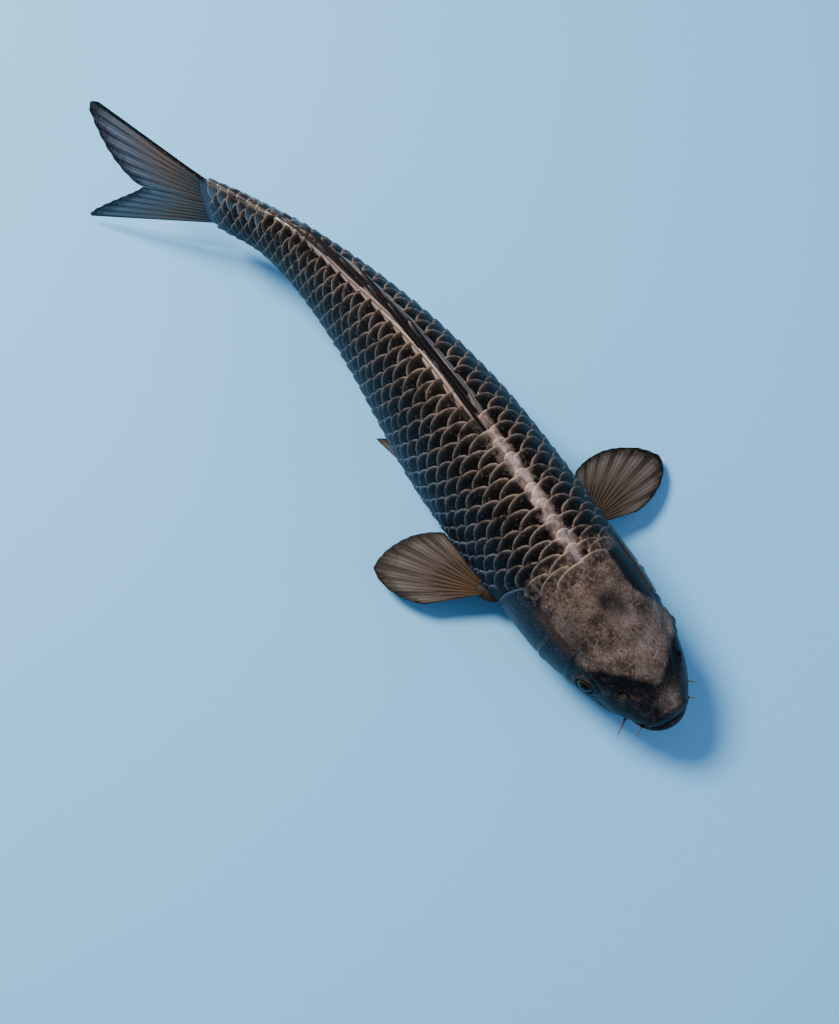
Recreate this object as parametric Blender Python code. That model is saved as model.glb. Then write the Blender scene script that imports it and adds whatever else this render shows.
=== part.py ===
"""A life-size koi carp resting on its belly: body wall, backbone, head, gill covers, jaws, eyes, barbels and fins.

The body is a set of sections drawn along a curved line, the spine line, that runs from the snout to the tail.
A place on the body is a station, its distance from the snout along that line as a share of TOTAL_LENGTH.
The head points to +X, the back to +Z and the left side to +Y. The belly's flat rests on Z = 0.
"""

import math

import bmesh
import bpy
import numpy as np
from mathutils import Matrix, Vector

# Driving dimensions, in metres and degrees
TOTAL_LENGTH = 0.500
SNOUT = (0.2440, -0.0237)  # the snout's place in plan, which puts the middle of the whole fish at the origin
GAP = 0.0004  # clearance between pieces that touch
WEDGE_MARGIN = 2.0  # spare angle where two body sections close on each other

# The spine line in plan: station, and the angle from +X of the way towards the tail
SPINE_STATIONS = (0.00, 0.12, 0.24, 0.36, 0.48, 0.60, 0.70, 0.82, 1.00)
SPINE_HEADINGS = (170.2, 176.8, 174.5, 174.1, 174.2, 179.6, 186.2, 202.4, 207.0)

# The body's offsets: station, half width, height of the back and height of the belly, as shares of TOTAL_LENGTH
STATIONS = (0.000, 0.012, 0.030, 0.080, 0.140, 0.200, 0.300, 0.400, 0.500, 0.600, 0.700, 0.760, 0.820, 0.850)
HALF_WIDTHS = (0.016, 0.030, 0.043, 0.062, 0.071, 0.073, 0.073, 0.070, 0.057, 0.041, 0.0270, 0.0195, 0.0140, 0.0050)
BACKS = (0.084, 0.094, 0.108, 0.138, 0.166, 0.188, 0.214, 0.222, 0.211, 0.188, 0.163, 0.152, 0.153, 0.158)
BELLIES = (0.052, 0.044, 0.034, 0.018, 0.008, 0.001, -0.011, -0.012, 0.003, 0.024, 0.051, 0.060, 0.056, 0.051)
WIDEST = 0.46  # the height of the widest place, as a share of the way from belly to back
SIDES = 24  # points round a body section

# Joints along the backbone: station, bend to the right and bend to the left from rest
NECK = (0.225, 8.0, 8.0)
SPINE_FRONT = (0.455, 10.0, 10.0)
SPINE_MIDDLE = (0.555, 12.0, 12.0)
SPINE_REAR = (0.655, 10.0, 16.0)
STALK = (0.745, 10.0, 18.0)
TAIL = (0.815, 18.0, 28.0)

JAW_HINGE = 0.078
JAW_OPENING = 25.0
MOUTH_LINE = 0.056  # height of the line between the jaws at the snout
LIP_RECESS = 0.0090  # how far above that line the snout is cut back for the lip
LIP_SLIDE = 0.006
EYE_STATION, EYE_ANGLE, EYE_RADIUS = 0.086, 14.0, 0.0068
GILL_COVER = (0.120, 0.216, -48.0, 34.0)  # first and last station, lowest and highest angle round the section
GILL_COVER_THICKNESS = 0.0024

DORSAL_RAYS = 14
DORSAL_START, DORSAL_END = 0.352, 0.642
DORSAL_FOLD, DORSAL_LEAN = 12.0, 16.0
PECTORAL_STATION, PECTORAL_HEIGHT, PECTORAL_DROOP = 0.238, 0.0200, 10.0
PECTORAL_BALL = 0.0058
PECTORAL_BLADES = 4
PECTORAL_BLADE_SPREAD = 18.0
PECTORAL_LONGEST, PECTORAL_TIP = 0.0710, 0.35  # the longest ray, and its share of the way from the leading edge
PECTORAL_REST = {"left": (104.0, 86.0, 68.0, 50.0), "right": (62.0, 48.0, 34.0, 20.0)}
PELVIC_STATION = 0.400
# Tail lobes: fan, longest ray, and the sweep to the left of the inner and the outer rays
TAIL_LOBES = {"upper": (24.0, 0.082, -10.0, 5.0), "lower": (14.0, 0.096, -10.0, -12.0)}
# How far each lobe can spread: its roots slant back by this, so that they clear the bone plate
TAIL_SPREAD = {"upper": 8.6, "lower": 3.0}

VERTEBRA_LENGTH = 0.0085


def smooth(x, knots, values):
    """The cubic curve through the values, with each knot's slope taken from its neighbours."""
    knots, values = np.asarray(knots, float), np.asarray(values, float)
    slopes = np.gradient(values, knots)
    i = np.clip(np.searchsorted(knots, x) - 1, 0, len(knots) - 2)
    h = knots[i + 1] - knots[i]
    t = (np.asarray(x, float) - knots[i]) / h
    low = (1 + 2 * t) * (1 - t) ** 2 * values[i] + t * (1 - t) ** 2 * h * slopes[i]
    return low + t * t * (3 - 2 * t) * values[i + 1] - t * t * (1 - t) * h * slopes[i + 1]


# The spine line, stepped along its length from a little ahead of the snout
STEPS = np.linspace(-0.02, 1.10, 1121)
HEADINGS = np.radians(smooth(np.clip(STEPS, 0, 1), SPINE_STATIONS, SPINE_HEADINGS))
STEP_LENGTH = (STEPS[1] - STEPS[0]) * TOTAL_LENGTH
LINE_X = np.cumsum(np.cos(HEADINGS)) * STEP_LENGTH
LINE_Y = np.cumsum(np.sin(HEADINGS)) * STEP_LENGTH
LINE_X += SNOUT[0] - np.interp(0, STEPS, LINE_X)
LINE_Y += SNOUT[1] - np.interp(0, STEPS, LINE_Y)


def frame_at(station):
    """Point on the spine line at floor height, and the fish's forward and left directions there."""
    heading = np.interp(station, STEPS, HEADINGS)
    x, y = np.interp(station, STEPS, LINE_X), np.interp(station, STEPS, LINE_Y)
    forward = Vector((-math.cos(heading), -math.sin(heading), 0))
    left = Vector((math.sin(heading), -math.cos(heading), 0))
    return Vector((x, y, 0)), forward, left


def place(station, across, height):
    """The point at a station, so far to the left of the spine line and so high."""
    point, _, left = frame_at(station)
    return point + left * float(across) + Vector((0, 0, float(height)))


def section(station):
    """Half width, back, belly and widest height of the body at a station, in metres."""
    half, back, belly = (
        float(smooth(station, STATIONS, values)) * TOTAL_LENGTH for values in (HALF_WIDTHS, BACKS, BELLIES)
    )
    return half, back, belly, belly + WIDEST * (back - belly)


def outline(station, angle, inset=0.0):
    """Across and height of the skin at an angle round the section: 0 is the left side, 90 the back."""
    half, back, belly, widest = section(station)
    c, s = math.cos(math.radians(angle)), math.sin(math.radians(angle))
    round_top = 0.86 + 0.20 * min(1.0, station / 0.30)
    power = round_top if s > 0 else 0.86
    across = math.copysign(abs(c) ** power, c) * (half - inset)
    rise = (back if s > 0 else 2 * widest - belly) - widest - inset
    height = widest + math.copysign(abs(s) ** power, s) * rise
    return across, max(height, inset)


def skin(station, angle, inset=0.0):
    return place(station, *outline(station, angle, inset))


def wedge(joint, across):
    """How far, as a station, a body section stops short of a joint on one side of the spine line."""
    station, right, left = joint
    half_angle = math.radians(((left if across > 0 else right) + WEDGE_MARGIN) / 2)
    return (GAP + abs(across) * math.tan(half_angle)) / TOTAL_LENGTH


def paint(name, colour, roughness, metallic=0.0):
    material = bpy.data.materials.new(name)
    material.use_nodes = True
    shader = material.node_tree.nodes["Principled BSDF"]
    shader.inputs["Base Color"].default_value = (*colour, 1)
    shader.inputs["Roughness"].default_value = roughness
    shader.inputs["Metallic"].default_value = metallic
    return material


def make(name, points, faces, material):
    """A mesh object with its faces turned outwards."""
    mesh = bpy.data.meshes.new(name)
    mesh.from_pydata([tuple(p) for p in points], [], faces)
    shape = bmesh.new()
    shape.from_mesh(mesh)
    bmesh.ops.recalc_face_normals(shape, faces=shape.faces)
    if shape.calc_volume(signed=True) < 0:
        bmesh.ops.reverse_faces(shape, faces=shape.faces)
    shape.to_mesh(mesh)
    shape.free()
    mesh.shade_smooth()
    mesh.set_sharp_from_angle(angle=math.radians(40))
    mesh.materials.append(material)
    made = bpy.data.objects.new(name, mesh)
    bpy.context.collection.objects.link(made)
    return made


def quads(rows, columns, start=0, wrap=True):
    """Faces of a grid of points that is closed round its columns."""
    turns = columns if wrap else columns - 1
    return [
        (
            start + r * columns + k,
            start + r * columns + (k + 1) % columns,
            start + (r + 1) * columns + (k + 1) % columns,
            start + (r + 1) * columns + k,
        )
        for r in range(rows - 1)
        for k in range(turns)
    ]


def loft(name, rings, material):
    """A closed solid through rings of points. Each end is closed in two halves, left and right of its middle."""
    columns = len(rings[0])
    points = [p for ring in rings for p in ring]
    faces = quads(len(rings), columns)
    quarter = columns // 4
    for first in (0, (len(rings) - 1) * columns):
        ring = [first + (quarter + k) % columns for k in range(columns)]
        half = columns // 2
        faces += [ring[: half + 1], ring[half:] + ring[:1]]
    return make(name, points, faces, material)


def tube(name, outer, inner, material):
    """A solid between two sets of rings, open at both ends."""
    columns, rows = len(outer[0]), len(outer)
    points = [p for ring in (*outer, *inner) for p in ring]
    inside = rows * columns
    faces = quads(rows, columns) + quads(rows, columns, inside)
    for first in (0, (rows - 1) * columns):
        for k in range(columns):
            following = (k + 1) % columns
            faces.append((first + k, first + following, inside + first + following, inside + first + k))
    return make(name, points, faces, material)


def rod(name, path, radii, sides, material):
    """A solid of round rings along a path, one radius to each of its points."""
    rings = []
    for i, (point, radius) in enumerate(zip(path, radii)):
        along = (path[min(i + 1, len(path) - 1)] - path[max(i - 1, 0)]).normalized()
        side = along.cross(Vector((0, 0, 1)))
        side = side.normalized() if side.length > 0.1 else Vector((0, 1, 0))
        over = side.cross(along)
        turns = [math.tau * k / sides for k in range(sides)]
        rings.append([point + (math.cos(a) * side + math.sin(a) * over) * float(radius) for a in turns])
    return loft(name, rings, material)


def plate(name, roots, tips, normal, root_thickness, tip_thickness, material, rows=4):
    """A thin fin through straight rays from roots to tips, tapering in thickness."""
    points = []
    for side in (1, -1):
        for r in range(rows):
            share = r / (rows - 1)
            thickness = root_thickness + (tip_thickness - root_thickness) * share
            points += [a + (b - a) * share + normal * side * thickness / 2 for a, b in zip(roots, tips)]
    columns = len(roots)
    under = rows * columns
    faces = quads(rows, columns, 0, False) + quads(rows, columns, under, False)
    rim = [k for k in range(columns)] + [r * columns + columns - 1 for r in range(1, rows)]
    rim += [(rows - 1) * columns + k for k in range(columns - 2, -1, -1)] + [r * columns for r in range(rows - 2, 0, -1)]
    for a, b in zip(rim, rim[1:] + rim[:1]):
        faces.append((a, b, under + b, under + a))
    return make(name, points, faces, material)


def patch(name, stations, angles, rear_round, outer, inner, material):
    """A curved plate that lies in the skin between stations and angles, with insets outer and inner.

    outer takes a share along the plate. rear_round is how far, as a station, the rear corners draw in.
    """
    along, around = 9, 7
    points = []
    for depth in (outer, inner):
        for i in range(along):
            for k in range(around):
                bow = (2 * k / (around - 1) - 1) ** 2
                last = stations[1] - rear_round * bow
                station = stations[0] + (last - stations[0]) * i / (along - 1)
                angle = angles[0] + (angles[1] - angles[0]) * k / (around - 1)
                points.append((station, angle, depth(i / (along - 1))))
    under = along * around
    faces = quads(along, around, 0, False) + quads(along, around, under, False)
    rim = [k for k in range(around)] + [i * around + around - 1 for i in range(1, along)]
    rim += [(along - 1) * around + k for k in range(around - 2, -1, -1)] + [i * around for i in range(along - 2, 0, -1)]
    for a, b in zip(rim, rim[1:] + rim[:1]):
        faces.append((a, b, under + b, under + a))
    return make(name, [skin(*p) for p in points], faces, material)


def ball(name, centre, radius, material, segments=16, rings=10):
    shape = bmesh.new()
    bmesh.ops.create_uvsphere(shape, u_segments=segments, v_segments=rings, radius=radius)
    mesh = bpy.data.meshes.new(name)
    shape.to_mesh(mesh)
    shape.free()
    mesh.shade_smooth()
    mesh.materials.append(material)
    made = bpy.data.objects.new(name, mesh)
    made.location = centre
    bpy.context.collection.objects.link(made)
    return made


def cut(target, cutter):
    cutter.hide_render = True
    cutter.display_type = "WIRE"
    modifier = target.modifiers.new("cut_" + cutter.name, "BOOLEAN")
    modifier.operation = "DIFFERENCE"
    modifier.object = cutter


def hinge_point(made, point):
    """Moves an object's origin to its joint and leaves its shape where it is."""
    made.data.transform(Matrix.Translation(-point) @ made.matrix_world)
    made.matrix_world = Matrix.Translation(point)
    return made


# Backbone: a rod of spool-shaped bones through the middle of every body section


def backbone_height(station):
    _, back, belly, _ = section(station)
    return belly + 0.60 * (back - belly)


def bone_radius(station):
    return 0.0052 - 0.0032 * min(1.0, max(0.0, (station - 0.2) / 0.62))


def backbone(name, start, end, material):
    """Bones between two stations, each narrow in its middle."""
    clear = 0.0011 / TOTAL_LENGTH
    count = max(2, round((end - start) * TOTAL_LENGTH / VERTEBRA_LENGTH))
    stations = np.linspace(start + clear, end - clear, 2 * count + 1)
    path = [place(s, 0, backbone_height(s)) for s in stations]
    radii = [bone_radius(s) * (0.70 if i % 2 else 1.0) for i, s in enumerate(stations)]
    radii[0] = radii[-1] = radii[0] * 0.8
    return hinge_point(rod(name, path, radii, 8, material), place(start, 0, backbone_height(start)))


def canal(station, angle):
    """Across and height of the canal that holds the backbone."""
    radius = bone_radius(station) + GAP + 0.0002
    a = math.radians(angle)
    return radius * math.cos(a), backbone_height(station) + radius * math.sin(a)


def belly_cavity(station, angle):
    """The canal, opened downwards into the cavity that holds the swim bladder."""
    across, height = canal(station, angle)
    a = math.radians(angle)
    open_share = math.sin(math.pi * min(1.0, max(0.0, (station - 0.240) / (0.440 - 0.240)))) ** 0.5
    width = 0.0215 * open_share
    floor = 0.016
    drop = max(0.0, backbone_height(station) - bone_radius(station) - floor) * open_share
    across += width * math.cos(a)
    height -= drop * (1 - math.sin(a)) / 2
    return across, height


def body_wall(name, start, end, hollow, rings, material):
    """Muscle and skin between two joints, with V-shaped ends that leave room to bend either way."""
    outer, inner = [], []
    angles = [360 * k / SIDES for k in range(SIDES)]
    for r in range(rings):
        share = r / (rings - 1)
        rows = []
        for shape in (outline, hollow):
            row = []
            for angle in angles:
                first = start[0] + wedge(start, shape(start[0], angle)[0])
                last = end[0] - wedge(end, shape(end[0], angle)[0])
                station = first + (last - first) * share
                row.append(place(station, *shape(station, angle)))
            rows.append(row)
        outer.append(rows[0])
        inner.append(rows[1])
    wall = tube(name, outer, inner, material)
    return hinge_point(wall, place(start[0], 0, backbone_height(start[0])))


def swim_bladder(name, start, end, radius, material):
    """One gas-filled chamber under the backbone."""
    path, radii = [], []
    for k in range(9):
        station = start + (end - start) * k / 8
        share = math.sin(math.pi * (0.06 + 0.88 * k / 8)) ** 0.6
        height = backbone_height(station) - bone_radius(station) - 0.0015 - radius
        path.append(place(station, 0, height))
        radii.append(radius * share)
    return rod(name, path, radii, 14, material)


# Head


def mouth_height(station):
    """Height of the line between the upper head and the lower jaw."""
    return (MOUTH_LINE - 0.10 * station) * TOTAL_LENGTH


def head_shell(material):
    stations = [0.008, 0.012, 0.018, 0.026, 0.036, 0.050, 0.064, JAW_HINGE + 0.001, JAW_HINGE + 0.002]
    stations += [0.095, 0.115, 0.135, 0.155, 0.175, 0.20, NECK[0]]
    rings = []
    angles = [360 * k / SIDES for k in range(SIDES)]
    for station in stations:
        ring = []
        for angle in angles:
            across, height = outline(station, angle)
            at = station
            if station <= JAW_HINGE + 0.001:
                height = max(height, mouth_height(station) + GAP)
            if station == NECK[0]:
                at = station - wedge(NECK, across)
                across, height = outline(at, angle)
            narrow = snout_narrowing(station)
            if height < mouth_height(station) + LIP_RECESS:
                narrow *= 1.0 - 0.30 * min(1.0, max(0.0, (0.052 - station) / 0.016))
            ring.append(place(at, across * narrow, height))
        rings.append(ring)
    shell = loft("head_shell", rings, material)
    return hinge_point(shell, place(NECK[0], 0, backbone_height(NECK[0])))


def snout_narrowing(station):
    """The snout is narrower than the body's outline, because the lip lies round it."""
    return 1.0 - 0.34 * max(0.0, 1 - station / 0.040)


def lower_jaw(material):
    """The scoop under the mouth. Its rear face slopes so that it can swing down."""
    stations = (0.006, 0.010, 0.018, 0.030, 0.044, 0.060, JAW_HINGE - 0.002)
    rings = []
    slope = math.tan(math.radians(JAW_OPENING + 4))
    for i, station in enumerate(stations):
        _, _, belly, widest = section(station)
        top = mouth_height(station) - GAP
        brim = -math.degrees(math.asin(((widest - top) / (widest - belly)) ** (1 / 0.86)))
        width = outline(station, brim)[0]
        ring = []
        for k in range(SIDES):
            angle = 360 * k / SIDES
            across, height = outline(station, angle)
            if height > top:
                over = ((angle if angle < 270 else angle - 360) - brim) / (180 - 2 * brim)
                across, height = width * (1 - 2 * over), top
            at = station - (top - height) * slope * (i / (len(stations) - 1)) ** 2 / TOTAL_LENGTH
            ring.append(place(at, across * 0.86 * snout_narrowing(station), height))
        rings.append(ring)
    jaw = loft("lower_jaw", rings, material)
    return hinge_point(jaw, place(JAW_HINGE, 0, mouth_height(JAW_HINGE)))


def mouth_cavity(material):
    """The room inside the mouth, half in the head and half in the jaw."""
    cavity = ball("mouth_cavity", place(0.044, 0, mouth_height(0.044)), 1.0, material, 12, 8)
    _, forward, left = frame_at(0.044)
    up = Vector((0, 0, 1))
    turn = Matrix((forward * 0.0145, left * 0.0095, up * 0.0050)).transposed()
    cavity.data.transform(turn.to_4x4())
    return cavity


def upper_lip(material):
    """A horseshoe round the front of the snout."""
    path, radii = [], []
    for k in range(15):
        a = math.radians(-84 + 168 * k / 14)
        station = 0.034 - 0.0345 * math.cos(a)
        path.append(place(station, 0.0170 * math.sin(a), mouth_height(station) + 0.0030))
        radii.append(0.0026 - 0.0012 * abs(math.sin(a)) ** 3)
    lip = rod("upper_lip", path, radii, 10, material)
    return hinge_point(lip, place(0, 0, mouth_height(0)))


def barbel(name, station, across, rise, length, outward, material):
    """A soft feeler that stands out from the lip, thick at its root."""
    root = place(station, across, mouth_height(station) + rise)
    _, forward, left = frame_at(station)
    way = (forward * 0.45 + left * math.copysign(outward, across) - Vector((0, 0, 0.55))).normalized()
    path = [root + way * length * share for share in (0, 0.25, 0.5, 0.75, 1)]
    radii = [0.0010, 0.00085, 0.00065, 0.00045, 0.0002]
    return hinge_point(rod(name, path, radii, 6, material), root)


def side_angle(side, angle):
    return angle if side == "left" else 180 - angle


def gill_cover(side, material):
    first, last, low, high = GILL_COVER
    angles = (side_angle(side, low), side_angle(side, high))
    cover = patch(
        "gill_cover_" + side, (first, last), angles, 0.018, lambda t: 0.0, lambda t: GILL_COVER_THICKNESS, material
    )
    return hinge_point(cover, skin(first, side_angle(side, 0), GILL_COVER_THICKNESS))


def gill_pockets(side, material):
    """The recess under the gill cover and the deeper chamber that holds the gills."""
    first, last, low, high = GILL_COVER
    recess = patch(
        "recess_" + side,
        (first - 0.0028, last + 0.03),
        (side_angle(side, low - 2), side_angle(side, high + 2)),
        -0.004,
        lambda t: -0.004,
        lambda t: GILL_COVER_THICKNESS + GAP,
        material,
    )
    chamber = patch(
        "chamber_" + side,
        (0.138, 0.204),
        (side_angle(side, -34), side_angle(side, 26)),
        0.004,
        lambda t: 0.0005,
        lambda t: 0.0130,
        material,
    )
    return recess, chamber


def gills(side, material):
    """Four arches in a row, each a ridge, joined at their roots."""
    return patch(
        "gills_" + side,
        (0.142, 0.200),
        (side_angle(side, -30), side_angle(side, 22)),
        0.004,
        lambda t: 0.0046 - 0.0014 * math.cos(8 * math.pi * t),
        lambda t: 0.0126,
        material,
    )


def eye_centre(side):
    return skin(EYE_STATION, side_angle(side, EYE_ANGLE), 0.0047)


# Fins


def dorsal_station(i):
    return DORSAL_START + (DORSAL_END - DORSAL_START) * i / (DORSAL_RAYS - 1)


def dorsal_frame(i):
    """Hinge point, hinge axis and rest direction of a ray of the folded back fin."""
    station = dorsal_station(i)
    step = 0.01
    ahead, behind = skin(station - step, 90), skin(station + step, 90)
    back = (behind - ahead).normalized()
    _, _, left = frame_at(station)
    lean = Matrix.Rotation(-math.radians(DORSAL_LEAN), 3, back)
    axis = lean @ left
    rise = axis.cross(back)
    point = skin(station, 90) + rise * 0.0018
    fold = math.radians(DORSAL_FOLD)
    return point, axis, back * math.cos(fold) + rise * math.sin(fold)


def dorsal_length(i):
    """The spine in front is short, then the rays shorten towards the tail."""
    return 0.046 if i == 0 else 0.062 - 0.026 * (i / (DORSAL_RAYS - 1)) ** 0.9


def dorsal_ray(i, material):
    point, _, way = dorsal_frame(i)
    stout = 1.25 if i == 0 else 1.0
    shares = (-0.018, 0.0, 0.018, 0.04, 0.12, 0.45, 0.8, 1.0)
    radii = (0.0006, 0.0011, 0.0010, 0.0007 * stout, 0.0007 * stout, 0.0006 * stout, 0.00045, 0.00025)
    path = [point + way * 0.060 * s if s < 0.1 else point + way * dorsal_length(i) * s for s in shares]
    name = "dorsal_spine" if i == 0 else f"dorsal_ray_{i:02d}"
    return hinge_point(rod(name, path, radii, 6, material), point)


def pectoral_centre(side):
    """Middle of the ball that the fin turns on, a little inside the skin."""
    half, _, _, widest = section(PECTORAL_STATION)
    low = next(a for a in range(0, -90, -1) if outline(PECTORAL_STATION, a)[1] <= PECTORAL_HEIGHT)
    across, height = outline(PECTORAL_STATION, low)
    return place(PECTORAL_STATION, math.copysign(across + 0.0012, 1 if side == "left" else -1), height)


def pectoral_frame(side):
    """Rearward and outward directions of the fin's plane, and its upward normal."""
    _, forward, left = frame_at(PECTORAL_STATION)
    outward = left if side == "left" else -left
    droop = math.radians(PECTORAL_DROOP)
    out = outward * math.cos(droop) - Vector((0, 0, math.sin(droop)))
    up = outward * math.sin(droop) + Vector((0, 0, math.cos(droop)))
    return -forward, out, up


def pectoral_length(share):
    """A leaf: the rays shorten to 0.48 of the longest at the leading edge and to 0.50 at the trailing edge."""
    if share < PECTORAL_TIP:
        return PECTORAL_LONGEST * (1 - 0.52 * ((PECTORAL_TIP - share) / PECTORAL_TIP) ** 1.3)
    return PECTORAL_LONGEST * (1 - 0.50 * ((share - PECTORAL_TIP) / (1 - PECTORAL_TIP)) ** 1.15)


def pectoral_blade(side, number, material):
    """A group of rays and their web, which slides over the next one as the fin closes."""
    rear, out, up = pectoral_frame(side)
    centre = pectoral_centre(side)
    lift = up * (0.0015 - 0.0010 * number)
    lead = PECTORAL_REST[side][number]
    roots, tips = [], []
    rays = 5
    for k in range(rays):
        share = k / (rays - 1)
        a = math.radians(lead - PECTORAL_BLADE_SPREAD * share)
        way = rear * math.cos(a) + out * math.sin(a)
        length = pectoral_length((number + share) / PECTORAL_BLADES)
        roots.append(centre + lift + way * (PECTORAL_BALL + 0.0012))
        tips.append(centre + lift + way * length)
    blade = plate(f"pectoral_blade_{side}_{number + 1}", roots, tips, up, 0.0007, 0.0005, material, 3)
    return hinge_point(blade, centre)


def pelvic_fin(side, material):
    """A fin that lies back along the underside, just clear of the belly."""
    sign = 1 if side == "left" else -1
    _, forward, left = frame_at(PELVIC_STATION)
    out = left * sign
    start = place(PELVIC_STATION, sign * 0.0232, 0.0030)
    roots, tips = [], []
    for k in range(6):
        share = k / 5
        a = math.radians(10 - 8 * share)
        way = -forward * math.cos(a) + out * math.sin(a) - Vector((0, 0, 0.030))
        root = start - forward * 0.010 * share
        roots.append(root)
        tips.append(root + way * (0.044 - 0.016 * share))
    fin = plate("pelvic_fin_" + side, roots, tips, Vector((0, 0, 1)), 0.0016, 0.0008, material)
    return hinge_point(fin, start)


def anal_fin(material):
    first, last = 0.672, 0.716
    roots, tips = [], []
    for k in range(6):
        share = k / 5
        station = first + (last - first) * share
        _, forward, _ = frame_at(station)
        root = skin(station, 270) - Vector((0, 0, 0.0008))
        fall = math.radians(30 - 8 * share)
        roots.append(root)
        tips.append(root + (-forward * math.cos(fall) - Vector((0, 0, math.sin(fall)))) * (0.038 - 0.012 * share))
    _, _, left = frame_at((first + last) / 2)
    fin = plate("anal_fin", roots, tips, left, 0.0018, 0.0006, material)
    return hinge_point(fin, (roots[0] + roots[-1]) / 2)


TAIL_ROOT_END = 0.838


def tail_root(material):
    """The end of the stalk, which flattens into the bone plate that carries the tail fin."""
    rings = []
    for share in (0.0, 0.35, 0.7, 1.0):
        ring = []
        for k in range(SIDES):
            angle = 360 * k / SIDES
            first = TAIL[0] + wedge(TAIL, outline(TAIL[0], angle)[0])
            station = first + (TAIL_ROOT_END - first) * share
            ring.append(skin(station, angle))
        rings.append(ring)
    return hinge_point(loft("tail_root", rings, material), place(TAIL[0], 0, backbone_height(TAIL[0])))


def tail_hinge():
    _, back, belly, _ = section(TAIL_ROOT_END)
    return place(TAIL_ROOT_END, 0, (back + belly) / 2)


def tail_lobe(which, material):
    """Half of the tail fin: rays that fan out from the bone plate, the outer ones longest."""
    fan, longest, inner_sweep, outer_sweep = TAIL_LOBES[which]
    sign = 1 if which == "upper" else -1
    _, forward, left = frame_at(0.86)
    _, back, belly, _ = section(TAIL_ROOT_END)
    reach = (back - belly) / 2 - 0.0005
    start = tail_hinge() - forward * 0.0008
    roots, tips = [], []
    rays = 8
    for k in range(rays):
        share = k / (rays - 1)
        sweep = math.radians(inner_sweep + (outer_sweep - inner_sweep) * share)
        rearward = -forward * math.cos(sweep) + left * math.sin(sweep)
        a = math.radians(2.0 + (fan - 2.0) * share)
        way = rearward * math.cos(a) + Vector((0, 0, sign * math.sin(a)))
        length = 0.044 + (longest - 0.044) * share**0.85
        rise = 0.0010 + (reach - 0.0010) * share
        root = start + Vector((0, 0, rise * sign)) - forward * rise * math.tan(math.radians(TAIL_SPREAD[which]))
        roots.append(root)
        tips.append(root + way * length)
    lobe = plate("tail_lobe_" + which, roots, tips, left, 0.0030, 0.0008, material)
    return hinge_point(lobe, start)


def build():
    for old in list(bpy.data.objects):
        bpy.data.objects.remove(old)
    dark = paint("scaled_skin", (0.035, 0.035, 0.040), 0.35)
    bare = paint("head_skin", (0.16, 0.12, 0.09), 0.40)
    web = paint("fin_web", (0.12, 0.085, 0.055), 0.45)
    bone = paint("bone", (0.72, 0.66, 0.54), 0.55)
    iris = paint("eye", (0.03, 0.025, 0.02), 0.08)
    gas = paint("swim_bladder", (0.78, 0.76, 0.72), 0.30)
    red = paint("gill", (0.35, 0.04, 0.03), 0.40)

    walls = (
        ("trunk_front", NECK, SPINE_FRONT, belly_cavity, 12),
        ("trunk_middle", SPINE_FRONT, SPINE_MIDDLE, canal, 6),
        ("trunk_rear", SPINE_MIDDLE, SPINE_REAR, canal, 6),
        ("stalk_front", SPINE_REAR, STALK, canal, 5),
        ("stalk_rear", STALK, TAIL, canal, 5),
    )
    made = {}
    for name, start, end, hollow, rings in walls:
        made[name] = body_wall(name, start, end, hollow, rings, dark)
        backbone("backbone_" + name, start[0], end[0], bone)
    swim_bladder("swim_bladder_front", 0.268, 0.330, 0.0145, gas)
    swim_bladder("swim_bladder_rear", 0.334, 0.412, 0.0115, gas)

    head = head_shell(bare)
    jaw = lower_jaw(bare)
    cavity = mouth_cavity(bare)
    cut(head, cavity)
    cut(jaw, cavity)
    upper_lip(bare)
    for side, sign in (("left", 1), ("right", -1)):
        gill_cover(side, bare)
        for pocket in gill_pockets(side, bare):
            cut(head, pocket)
        gills(side, red)
        ball("eye_" + side, eye_centre(side), EYE_RADIUS, iris)
        cut(head, ball("socket_" + side, eye_centre(side), EYE_RADIUS + 0.0009, iris))
        barbel("barbel_front_" + side, 0.012, sign * 0.0160, 0.0045, 0.007, 0.7, bare)
        barbel("barbel_rear_" + side, 0.030, sign * 0.0204, 0.0020, 0.013, 0.7, bare)

        ball("pectoral_root_" + side, pectoral_centre(side), PECTORAL_BALL, bare)
        socket = ball("pectoral_socket_" + side, pectoral_centre(side), PECTORAL_BALL + 0.0008, bare)
        cut(made["trunk_front"], socket)
        for number in range(PECTORAL_BLADES):
            pectoral_blade(side, number, web)
        pelvic_fin(side, web)

    for i in range(DORSAL_RAYS):
        dorsal_ray(i, web)
    anal_fin(web)
    tail_root(dark)
    tail_lobe("upper", web)
    tail_lobe("lower", web)


build()
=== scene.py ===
"""The looks of a life-size koi carp: skin, scales, head, eyes, mouth and fins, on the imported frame."""

import math

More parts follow.
